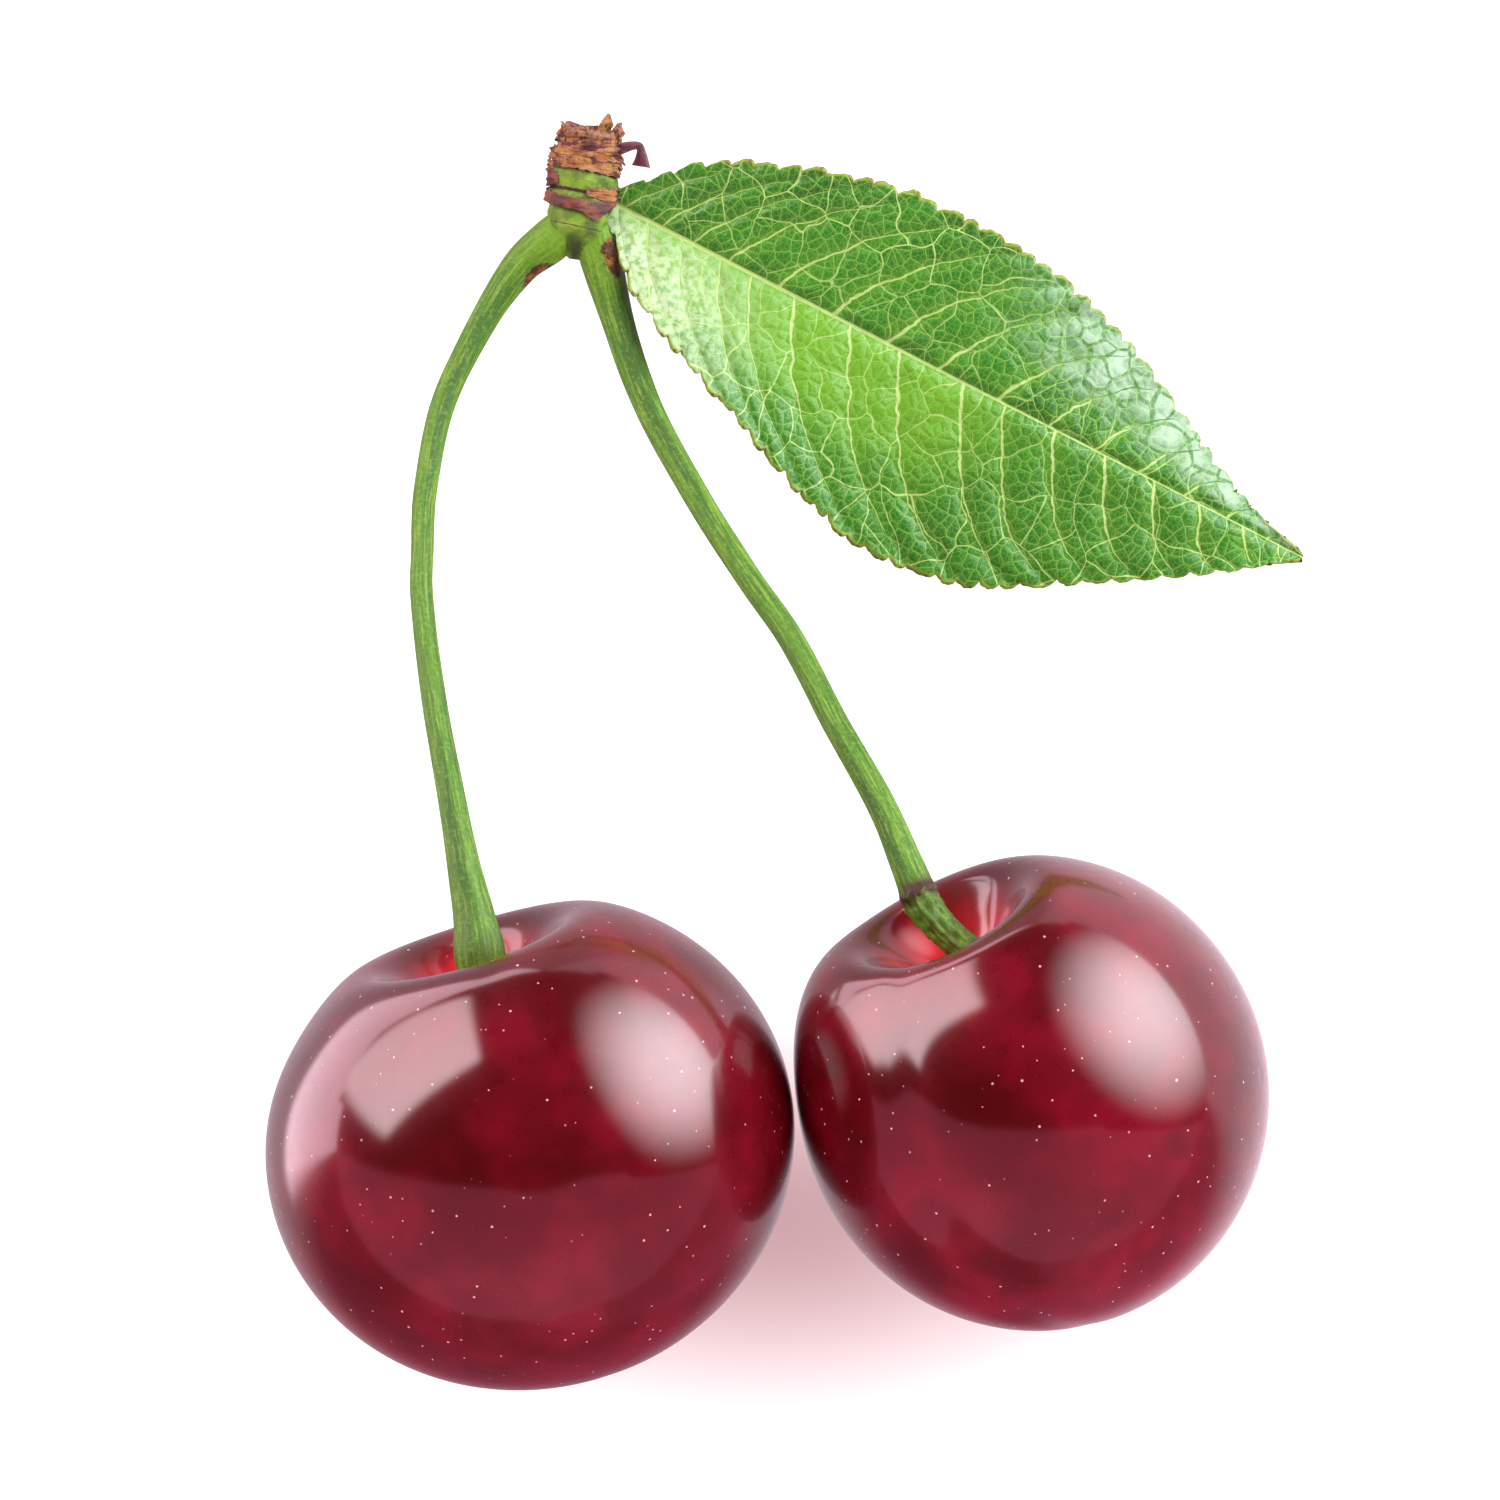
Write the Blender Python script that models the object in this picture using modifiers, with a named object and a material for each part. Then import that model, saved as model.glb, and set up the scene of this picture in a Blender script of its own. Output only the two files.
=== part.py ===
"""Two sweet cherries on their stalks, joined at one spur that also carries a leaf.

The sprig lies on a table: Z is up, Y runs from the fruit to the spur, X to the right.
Lengths are written in millimetres and scaled to metres when meshes are made.
"""

import math

import bmesh
import bpy
from mathutils import Vector

MM = 0.001

# The middle of the footprint in the layout that the lengths below are written in.
LAYOUT_CENTRE = (0.06, 0.055)

# Fruit: how far the core leans left and rises to the stalk end, half sizes across, through and
# along the core, the hollow round the stalk, the suture line's depth and its turn from the top,
# and one cheek: swell, then its direction from the core and around it, and its width in degrees.
LEFT_CHERRY = {
    "centre": (-12.85, -19.68),
    "lean_deg": 17.0,
    "raise_deg": 10.5,
    "half": (13.4, 12.6, 12.4),
    "hollow_depth": 5.1,
    "hollow_radius": 4.05,
    "hollow_power": 2.4,
    "suture_depth": 0.22,
    "suture_turn_deg": 6.0,
    "cheek": (-0.3, 38.0, 180.0, 18.0),
}
RIGHT_CHERRY = {
    "centre": (12.45, -17.22),
    "lean_deg": 27.5,
    "raise_deg": 20.0,
    "half": (11.8, 11.7, 12.1),
    "hollow_depth": 4.8,
    "hollow_radius": 3.7,
    "hollow_power": 2.8,
    "suture_depth": 0.3,
    "suture_turn_deg": -38.0,
    "cheek": (0.95, 34.0, 180.0, 23.0),
}
# Depth by which a ripe fruit flattens where it rests.
REST_CUT = 0.2
CHERRY_RINGS = 40
CHERRY_SIDES = 56

# Stalks: x, y, z and radius from the spur down to the fruit.
LEFT_STALK = (
    (-11.4, 26.05, 2.3, 0.80),
    (-11.85, 25.4, 2.35, 0.84),
    (-13.5, 24.2, 2.5, 0.80),
    (-15.3, 21.6, 3.0, 0.70),
    (-17.3, 17.4, 4.2, 0.62),
    (-18.15, 13.1, 5.7, 0.60),
    (-18.3, 10.0, 7.0, 0.60),
    (-18.3, 7.5, 8.1, 0.60),
    (-17.7, 2.7, 10.2, 0.65),
    (-16.9, -2.2, 12.1, 0.72),
    (-16.25, -5.9, 13.3, 0.84),
    (-15.8, -8.3, 13.9, 1.00),
    (-15.5, -10.2, 14.3, 1.20),
    (-15.25, -11.6, 14.3, 1.05),
)
RIGHT_STALK = (
    (-9.5, 26.0, 2.3, 1.05),
    (-9.35, 24.7, 2.4, 1.02),
    (-8.5, 21.6, 2.9, 0.82),
    (-7.0, 17.4, 4.0, 0.72),
    (-4.7, 13.1, 5.7, 0.68),
    (-2.05, 8.9, 7.6, 0.67),
    (0.3, 5.5, 9.2, 0.67),
    (2.55, 1.4, 11.0, 0.69),
    (4.95, -2.7, 12.8, 0.75),
    (6.3, -5.8, 13.9, 0.85),
    (7.05, -7.8, 14.4, 0.90),
    (7.65, -8.75, 14.6, 0.84),
    (8.6, -9.65, 14.7, 0.80),
    (9.4, -10.35, 14.6, 0.95),
)
STALK_STEPS = 3

# Spur: a short woody shoot. Height along it and radius, from the cut top down to the crotch.
SPUR_BASE = (-10.49, 26.3, 2.35)
SPUR_LEAN_DEG = 7.0
SPUR_PROFILE = (
    (5.15, 1.12),
    (4.9, 1.26),
    (4.2, 1.36),
    (3.5, 1.46),
    (3.1, 1.66),
    (2.7, 1.76),
    (2.3, 1.72),
    (2.0, 1.52),
    (1.0, 1.52),
    (0.6, 1.60),
    (0.3, 1.56),
    (0.15, 1.45),
)
SPUR_SIDES = 32

# Leaf: the midrib's ends, its height along the way, and the half widths either side of it.
LEAF_BASE = (-8.3, 27.4)
LEAF_TIP = (26.2, 9.7)
LEAF_THICK = 0.4
LEAF_RIB_HEIGHT = ((0.0, 2.6), (0.12, 2.9), (0.3, 2.7), (0.5, 2.1), (0.7, 1.4), (0.85, 0.8), (1.0, 0.25))
LEAF_UPPER_HALF = (
    (0.0, 0.45), (0.03, 1.4), (0.08, 3.3), (0.15, 4.9), (0.23, 6.2), (0.36, 7.3), (0.45, 7.2),
    (0.55, 6.7), (0.67, 5.2), (0.77, 3.3), (0.87, 1.3), (0.94, 0.5), (1.0, 0.12),
)
LEAF_LOWER_HALF = (
    (0.0, 0.45), (0.03, 1.7), (0.09, 3.8), (0.18, 5.5), (0.27, 6.8), (0.38, 8.5), (0.5, 9.6),
    (0.6, 9.0), (0.77, 5.7), (0.92, 2.2), (1.0, 0.12),
)
LEAF_FOLD_UPPER = 0.16
LEAF_FOLD_LOWER = 0.04
LEAF_STEPS = 40
LEAF_HALF_STEPS = 8

SCALE_THICK = 0.14

# Bud scales wrapped on the spur: angle range from straight up (right is positive), heights of
# the lower and upper rim at even steps of that range, and radius at the lower and upper rim.
WRAPPED_SCALES = {
    "bud_scale_band": {
        "angles": (-112.0, 112.0),
        "low": (1.45, 1.3, 1.15, 1.05, 0.95, 0.55, 1.2, 1.5, 1.7),
        "high": (1.95, 1.85, 1.75, 1.6, 1.55, 1.5, 1.7, 1.9, 2.0),
        "radii": (1.86, 1.72),
    },
    "bud_scale_left": {
        "angles": (-150.0, -46.0),
        "low": (3.0, 2.9, 2.95, 3.05, 3.3),
        "high": (4.7, 5.2, 4.6, 4.9, 4.3),
        "radii": (1.92, 1.62),
    },
    "bud_scale_front": {
        "angles": (-42.0, 62.0),
        "low": (3.2, 3.05, 2.95, 3.0, 3.2),
        "high": (4.9, 5.15, 4.95, 5.0, 4.7),
        "radii": (1.92, 1.58),
    },
    "bud_scale_point": {
        "angles": (20.0, 52.0),
        "low": (5.3, 5.2, 5.25),
        "high": (5.55, 6.1, 5.5),
        "radii": (1.12, 1.5),
    },
    "bud_scale_right": {
        "angles": (66.0, 150.0),
        "low": (3.3, 3.2, 3.3),
        "high": (5.3, 5.6, 5.0),
        "radii": (1.9, 1.6),
    },
}

# The curled scale: left and right edge of the strip and its height, station by station.
CURLED_SCALE = (
    ((-8.10, 30.15), (-8.05, 30.65), 2.95),
    ((-7.75, 30.3), (-7.70, 30.68), 3.15),
    ((-7.55, 30.3), (-7.35, 30.62), 3.2),
    ((-7.58, 29.9), (-7.08, 30.15), 3.05),
    ((-7.78, 29.5), (-6.85, 29.35), 2.8),
)

COLOURS = {
    "cherry": ((0.16, 0.004, 0.009, 1.0), 0.12),
    "stalk": ((0.13, 0.30, 0.045, 1.0), 0.45),
    "spur": ((0.22, 0.20, 0.05, 1.0), 0.6),
    "scale": ((0.36, 0.13, 0.04, 1.0), 0.7),
    "maroon_scale": ((0.15, 0.02, 0.04, 1.0), 0.5),
    "leaf": ((0.07, 0.26, 0.03, 1.0), 0.35),
}


def clear_scene():
    """Removes everything the start-up scene holds."""
    for obj in list(bpy.data.objects):
        bpy.data.objects.remove(obj, do_unlink=True)


def make_material(name):
    """Returns a plain coated material of the named colour."""
    colour, roughness = COLOURS[name]
    material = bpy.data.materials.new(name)
    material.use_nodes = True
    shader = material.node_tree.nodes["Principled BSDF"]
    shader.inputs["Base Color"].default_value = colour
    shader.inputs["Roughness"].default_value = roughness
    return material


def add_object(name, data, colour, collection):
    """Puts the data in the scene as one named object with its own material."""
    data.materials.append(make_material(colour))
    obj = bpy.data.objects.new(name, data)
    collection.objects.link(obj)
    return obj


def to_metres(point):
    """Moves a point of the millimetre layout to the part's frame in metres."""
    x, y, z = point
    return Vector((x - LAYOUT_CENTRE[0], y - LAYOUT_CENTRE[1], z)) * MM


def between(knots, at):
    """Smooth value at a place along knots of (place, value), level at local extremes."""
    places = [k[0] for k in knots]
    values = [k[1] for k in knots]
    if at <= places[0]:
        return values[0]
    if at >= places[-1]:
        return values[-1]
    steps = [(values[i + 1] - values[i]) / (places[i + 1] - places[i]) for i in range(len(knots) - 1)]
    slopes = [steps[0]]
    for before, after in zip(steps, steps[1:]):
        slopes.append(0.0 if before * after <= 0 else 2 * before * after / (before + after))
    slopes.append(steps[-1])
    i = max(k for k in range(len(knots) - 1) if places[k] <= at)
    width = places[i + 1] - places[i]
    t = (at - places[i]) / width
    rise = (2 * t**3 - 3 * t**2 + 1) * values[i] + (3 * t**2 - 2 * t**3) * values[i + 1]
    return rise + width * ((t**3 - 2 * t**2 + t) * slopes[i] + (t**3 - t**2) * slopes[i + 1])


def through(stations, steps):
    """Points of a Catmull-Rom curve through the stations, with so many steps between two."""
    rows = [Vector(s) for s in stations]
    first = rows[0] * 2 - rows[1]
    last = rows[-1] * 2 - rows[-2]
    rows = [first, *rows, last]
    found = []
    for a, b, c, d in zip(rows, rows[1:], rows[2:], rows[3:]):
        for k in range(steps):
            t = k / steps
            found.append(
                b + ((c - a) * t + (a * 2 - b * 5 + c * 4 - d) * t**2 + (b * 3 - a - c * 3 + d) * t**3) / 2
            )
    found.append(rows[-2])
    return found


def cherry_point(shape, polar, around):
    """Place on a cherry in its own axes: x across, y through, z along the core to the stalk."""
    across, through_half, along = shape["half"]
    x = across * math.sin(polar) * math.cos(around)
    y = through_half * math.sin(polar) * math.sin(around)
    z = along * math.cos(polar)
    if z > 0:
        reach = math.hypot(x, y) / shape["hollow_radius"]
        z -= shape["hollow_depth"] * math.exp(-(reach ** shape["hollow_power"]))
    else:
        reach = math.hypot(x, y) / 1.6
        z += 0.35 * math.exp(-reach * reach)
    amount, cheek_polar, cheek_around, width = shape["cheek"]
    cheek_polar, cheek_around = math.radians(cheek_polar), math.radians(cheek_around)
    facing = math.cos(polar) * math.cos(cheek_polar)
    facing += math.sin(polar) * math.sin(cheek_polar) * math.cos(around - cheek_around)
    swell = amount * math.exp(-((math.acos(max(-1.0, min(1.0, facing))) / math.radians(width)) ** 2))
    turn = math.radians(-90 + shape["suture_turn_deg"])
    away = math.atan2(math.sin(around - turn), math.cos(around - turn))
    groove = shape["suture_depth"] * math.exp(-((away / 0.16) ** 2)) * math.sin(polar) ** 2
    outwards = 1 + (swell - groove) / across
    return Vector((x * outwards, y * outwards, z * outwards))


def cherry_axes(shape):
    """The cherry's three axes in the layout: across, through (down) and along the core."""
    lean = math.radians(shape["lean_deg"])
    lift = math.radians(shape["raise_deg"])
    across = Vector((math.cos(lean), math.sin(lean), 0))
    along = Vector((-math.sin(lean) * math.cos(lift), math.cos(lean) * math.cos(lift), math.sin(lift)))
    return across, along.cross(across), along


def add_cherry(name, shape, collection):
    """A cherry resting on the table on a small flat where its weight presses."""
    across, depth, along = cherry_axes(shape)
    rows = []
    for i in range(1, CHERRY_RINGS):
        polar = math.pi * (i / CHERRY_RINGS)
        rows.append([cherry_point(shape, polar, 2 * math.pi * j / CHERRY_SIDES) for j in range(CHERRY_SIDES)])
    ends = [cherry_point(shape, 0, 0), cherry_point(shape, math.pi, 0)]

    def placed(p):
        return across * p.x + depth * p.y + along * p.z

    lowest = min(placed(p).z for row in rows for p in row)
    centre = Vector((shape["centre"][0], shape["centre"][1], -lowest - REST_CUT))
    mesh = bmesh.new()
    rings = [[mesh.verts.new(to_metres(placed(p) + centre)) for p in row] for row in rows]
    top, bottom = (mesh.verts.new(to_metres(placed(p) + centre)) for p in ends)
    for j in range(CHERRY_SIDES):
        k = (j + 1) % CHERRY_SIDES
        mesh.faces.new((top, rings[0][j], rings[0][k]))
        mesh.faces.new((bottom, rings[-1][k], rings[-1][j]))
        for upper, lower in zip(rings, rings[1:]):
            mesh.faces.new((upper[j], lower[j], lower[k], upper[k]))
    everything = list(mesh.verts) + list(mesh.edges) + list(mesh.faces)
    cut = bmesh.ops.bisect_plane(
        mesh, geom=everything, dist=1e-7, plane_co=(0, 0, 0), plane_no=(0, 0, -1), clear_outer=True
    )
    rim = [e for e in cut["geom_cut"] if isinstance(e, bmesh.types.BMEdge)]
    bmesh.ops.contextual_create(mesh, geom=rim)
    bmesh.ops.recalc_face_normals(mesh, faces=mesh.faces)
    data = bpy.data.meshes.new(name)
    mesh.to_mesh(data)
    mesh.free()
    for face in data.polygons:
        face.use_smooth = len(face.vertices) <= 6
    return add_object(name, data, "cherry", collection)


def add_stalk(name, stations, collection):
    """A stalk: a round tube along its route, thicker at both ends."""
    route = through(stations, STALK_STEPS)
    data = bpy.data.curves.new(name, "CURVE")
    data.dimensions = "3D"
    data.bevel_depth = MM
    data.bevel_resolution = 3
    data.use_fill_caps = True
    spline = data.splines.new("POLY")
    spline.points.add(len(route) - 1)
    spline.use_smooth = True
    for point, (x, y, z, radius) in zip(spline.points, route):
        point.co = (*to_metres((x, y, z)), 1.0)
        point.radius = radius
    return add_object(name, data, "stalk", collection)


def spur_axes():
    """The spur's right, up and along directions in the layout."""
    lean = math.radians(SPUR_LEAN_DEG)
    right = Vector((math.cos(lean), -math.sin(lean), 0))
    along = Vector((math.sin(lean), math.cos(lean), 0))
    return right, Vector((0, 0, 1)), along


def add_spur(name, collection):
    """The spur: a turned profile with swellings, lying along the table."""
    right, up, along = spur_axes()
    data = bpy.data.meshes.new(name)
    profile = [(0.0, SPUR_PROFILE[0][0]), *((r, h) for h, r in SPUR_PROFILE), (0.0, SPUR_PROFILE[-1][0])]
    data.from_pydata(
        [(r * MM, 0, h * MM) for r, h in profile], [(i, i + 1) for i in range(len(profile) - 1)], []
    )
    obj = add_object(name, data, "spur", collection)
    turned = obj.modifiers.new("turned", "SCREW")
    turned.axis = "Z"
    turned.angle = 2 * math.pi
    turned.steps = SPUR_SIDES
    turned.render_steps = SPUR_SIDES
    turned.use_merge_vertices = True
    turned.merge_threshold = 0.00001
    turned.use_smooth_shade = True
    axes = (right, -up, along)
    for row in range(3):
        for column in range(3):
            obj.matrix_world[row][column] = axes[column][row]
    obj.matrix_world.translation = to_metres(SPUR_BASE)
    return obj


def add_sheet(name, rows, thick, colour, collection):
    """A thin sheet: a grid of points given thickness on both sides."""
    data = bpy.data.meshes.new(name)
    wide = len(rows[0])
    faces = [
        (i * wide + j, i * wide + j + 1, (i + 1) * wide + j + 1, (i + 1) * wide + j)
        for i in range(len(rows) - 1)
        for j in range(wide - 1)
    ]
    data.from_pydata([to_metres(p) for row in rows for p in row], [], faces)
    for face in data.polygons:
        face.use_smooth = True
    obj = add_object(name, data, colour, collection)
    solid = obj.modifiers.new("thickness", "SOLIDIFY")
    solid.thickness = thick * MM
    solid.offset = 0.0
    solid.use_even_offset = False
    return obj


def leaf_rows():
    """Grid of points over the leaf blade, from the base to the tip."""
    base = Vector((*LEAF_BASE, 0))
    run = Vector((*LEAF_TIP, 0)) - base
    side = Vector((-run.y, run.x, 0)).normalized()
    rows = []
    for i in range(LEAF_STEPS + 1):
        at = i / LEAF_STEPS
        spine = base + run * at + Vector((0, 0, between(LEAF_RIB_HEIGHT, at)))
        upper = between(LEAF_UPPER_HALF, at)
        lower = between(LEAF_LOWER_HALF, at)
        row = []
        for j in range(-LEAF_HALF_STEPS, LEAF_HALF_STEPS + 1):
            share = j / LEAF_HALF_STEPS
            reach = share * (upper if share > 0 else lower)
            fold = LEAF_FOLD_UPPER if share > 0 else LEAF_FOLD_LOWER
            row.append(spine + side * reach + Vector((0, 0, fold * abs(reach))))
        rows.append(row)
    return rows


def wrapped_rows(scale):
    """Grid of points over a scale that wraps part of the spur."""
    right, up, along = spur_axes()
    base = Vector(SPUR_BASE)
    start, end = (math.radians(a) for a in scale["angles"])
    spread = len(scale["low"]) - 1
    low = [(k / spread, h) for k, h in enumerate(scale["low"])]
    high = [(k / spread, h) for k, h in enumerate(scale["high"])]
    columns = max(8, 3 * spread)
    rows = []
    for i in range(5):
        lift = i / 4
        row = []
        for j in range(columns + 1):
            share = j / columns
            angle = start + (end - start) * share
            height = between(low, share) * (1 - lift) + between(high, share) * lift
            radius = scale["radii"][0] * (1 - lift) + scale["radii"][1] * lift
            out = right * math.sin(angle) + up * math.cos(angle)
            row.append(base + along * height + out * radius)
        rows.append(row)
    return rows


def curled_rows():
    """Grid of points along the curled scale."""
    left = through([(*a, z) for a, b, z in CURLED_SCALE], 3)
    right = through([(*b, z) for a, b, z in CURLED_SCALE], 3)
    return [[a.lerp(b, k / 3) for k in range(4)] for a, b in zip(left, right)]


def main():
    """Builds the sprig."""
    clear_scene()
    sprig = bpy.data.collections.new("cherries_on_stalks")
    bpy.context.scene.collection.children.link(sprig)
    add_cherry("cherry_left", LEFT_CHERRY, sprig)
    add_cherry("cherry_right", RIGHT_CHERRY, sprig)
    add_stalk("stalk_left", LEFT_STALK, sprig)
    add_stalk("stalk_right", RIGHT_STALK, sprig)
    add_spur("spur", sprig)
    add_sheet("leaf", leaf_rows(), LEAF_THICK, "leaf", sprig)
    for name, scale in WRAPPED_SCALES.items():
        add_sheet(name, wrapped_rows(scale), SCALE_THICK, "scale", sprig)
    add_sheet("bud_scale_curled", curled_rows(), SCALE_THICK, "maroon_scale", sprig)


main()
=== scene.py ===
"""Looks for a sprig of two sweet cherries with one leaf, lying on a pale table.

The sprig lies with its fruit towards -Y and its woody spur towards +Y. Each grown piece
replaces the CAD node of the same name, and the frills are extra scraps round the spur.
Lengths in the classes are millimetres, scaled to metres when a mesh is made.
"""

import logging
import math
from dataclasses import dataclass
from enum import Enum

import bmesh
import bpy
from mathutils import Matrix, Vector, noise


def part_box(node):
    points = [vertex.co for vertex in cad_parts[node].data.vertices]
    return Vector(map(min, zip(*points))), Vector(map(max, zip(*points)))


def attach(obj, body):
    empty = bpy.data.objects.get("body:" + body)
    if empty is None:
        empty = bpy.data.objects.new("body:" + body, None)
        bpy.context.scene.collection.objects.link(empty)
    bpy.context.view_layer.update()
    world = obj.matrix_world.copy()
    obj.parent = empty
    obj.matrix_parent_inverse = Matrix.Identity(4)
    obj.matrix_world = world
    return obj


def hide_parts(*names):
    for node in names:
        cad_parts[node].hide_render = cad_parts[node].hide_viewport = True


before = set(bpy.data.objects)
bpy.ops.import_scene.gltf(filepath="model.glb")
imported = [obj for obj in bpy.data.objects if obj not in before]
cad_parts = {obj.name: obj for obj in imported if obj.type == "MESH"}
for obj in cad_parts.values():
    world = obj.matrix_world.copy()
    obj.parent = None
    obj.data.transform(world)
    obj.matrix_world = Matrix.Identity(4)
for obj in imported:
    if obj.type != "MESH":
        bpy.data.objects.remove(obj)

logging.basicConfig(level=logging.INFO, format="%(message)s")
log = logging.getLogger("sprig")

MM = 0.001
BODY = "root"

Colour = tuple[float, float, float]
Knots = tuple[tuple[float, float], ...]
Socket = bpy.types.NodeSocket


# ---------------------------------------------------------------- small curves


def between(knots: Knots, at: float) -> float:
    """Reads a smooth curve through knots, level at its local extremes.

    Args:
        knots: (place, value) pairs in rising order of place.
        at: the place to read.

    Returns:
        The value there, held level beyond both ends.
    """
    if at <= knots[0][0]:
        return knots[0][1]
    if at >= knots[-1][0]:
        return knots[-1][1]
    steps = [(b[1] - a[1]) / (b[0] - a[0]) for a, b in zip(knots, knots[1:])]
    slopes = [steps[0]]
    slopes += [0.0 if a * b <= 0 else 2 * a * b / (a + b) for a, b in zip(steps, steps[1:])]
    slopes.append(steps[-1])
    i = max(k for k in range(len(knots) - 1) if knots[k][0] <= at)
    width = knots[i + 1][0] - knots[i][0]
    t = (at - knots[i][0]) / width
    value = (2 * t**3 - 3 * t**2 + 1) * knots[i][1] + (3 * t**2 - 2 * t**3) * knots[i + 1][1]
    return value + width * ((t**3 - 2 * t**2 + t) * slopes[i] + (t**3 - t**2) * slopes[i + 1])


def ease(low: float, high: float, at: float) -> float:
    """Rises smoothly from 0 at low to 1 at high."""
    t = min(1.0, max(0.0, (at - low) / (high - low)))
    return t * t * (3 - 2 * t)


def bell(at: float, width: float) -> float:
    """A bump of height 1 at 0 that fades over width."""
    return math.exp(-((at / width) ** 2))


def through(stations: tuple[tuple[float, ...], ...], steps: int) -> list[Vector]:
    """Points of a smooth curve through the stations.

    Args:
        stations: rows of equal length, such as x, y, z and radius.
        steps: how many points lie between two stations.

    Returns:
        The rows along the curve, the first and last station among them.
    """
    rows = [Vector(s) for s in stations]
    rows = [rows[0] * 2 - rows[1], *rows, rows[-1] * 2 - rows[-2]]
    found = []
    for a, b, c, d in zip(rows, rows[1:], rows[2:], rows[3:]):
        for k in range(steps):
            t = k / steps
            bend = (c - a) * t + (a * 2 - b * 5 + c * 4 - d) * t**2 + (b * 3 - a - c * 3 + d) * t**3
            found.append(b + bend / 2)
    found.append(rows[-2])
    return found


# ---------------------------------------------------------------- mesh helpers


def finish_piece(
    mesh: bmesh.types.BMesh, name: str, slot: str, material: bpy.types.Material, *nodes: str
) -> bpy.types.Object:
    """Turns a millimetre mesh into a finished piece that stands for CAD nodes.

    Args:
        mesh: the shape, in millimetres and in place. It is freed.
        name: the piece's name.
        slot: the record's material slot it belongs to; it is not used.
        material: its finish.
        nodes: the CAD nodes that it replaces.

    Returns:
        The new object, at the origin, riding on the sprig's body.
    """
    bmesh.ops.scale(mesh, verts=mesh.verts, vec=(MM, MM, MM))
    for face in mesh.faces:
        face.smooth = True
    data = bpy.data.meshes.new(name)
    mesh.to_mesh(data)
    mesh.free()
    data.materials.append(material)
    piece = bpy.data.objects.new(name, data)
    bpy.context.scene.collection.objects.link(piece)
    if nodes:
        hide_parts(*nodes)
    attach(piece, BODY)
    log.info("%s: %d faces", name, len(data.polygons))
    return piece


def spun_tube(rings: int, sides: int) -> bmesh.types.BMesh:
    """A straight closed tube of radius 1 along +Z from 0 to 1, to be shaped vertex by vertex.

    Args:
        rings: how many steps it has along its length.
        sides: how many steps it has around.

    Returns:
        The tube, with its ends closed and its faces outwards.
    """
    mesh = bmesh.new()
    row = [mesh.verts.new((1.0, 0.0, k / rings)) for k in range(rings + 1)]
    edges = [mesh.edges.new(pair) for pair in zip(row, row[1:])]
    bmesh.ops.spin(
        mesh,
        geom=row + edges,
        cent=(0, 0, 0),
        axis=(0, 0, 1),
        angle=2 * math.pi,
        steps=sides,
        use_merge=True,
    )
    bmesh.ops.remove_doubles(mesh, verts=mesh.verts, dist=1e-5)
    rims = [e for e in mesh.edges if e.is_boundary]
    caps = bmesh.ops.holes_fill(mesh, edges=rims, sides=0)["faces"]
    for cap in caps:
        bmesh.ops.poke(mesh, faces=[cap])
    bmesh.ops.recalc_face_normals(mesh, faces=mesh.faces)
    return mesh


def frames_along(route: list[Vector]) -> list[tuple[Vector, Vector, Vector, float]]:
    """Untwisted frames along a route.

    Args:
        route: rows that start with x, y and z.

    Returns:
        A side, the other side, a point and the length run so far, for each row.
    """
    points = [Vector(r[:3]) for r in route]
    run = 0.0
    side = None
    frames = []
    for i, point in enumerate(points):
        ahead = (points[min(i + 1, len(points) - 1)] - points[max(i - 1, 0)]).normalized()
        if side is None:
            side = Vector((0, 0, 1)).cross(ahead)
        side = (side - ahead * side.dot(ahead)).normalized()
        if i:
            run += (point - points[i - 1]).length
        frames.append((side, ahead.cross(side), point, run))
    return frames


# ---------------------------------------------------------------- shader helpers


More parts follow.
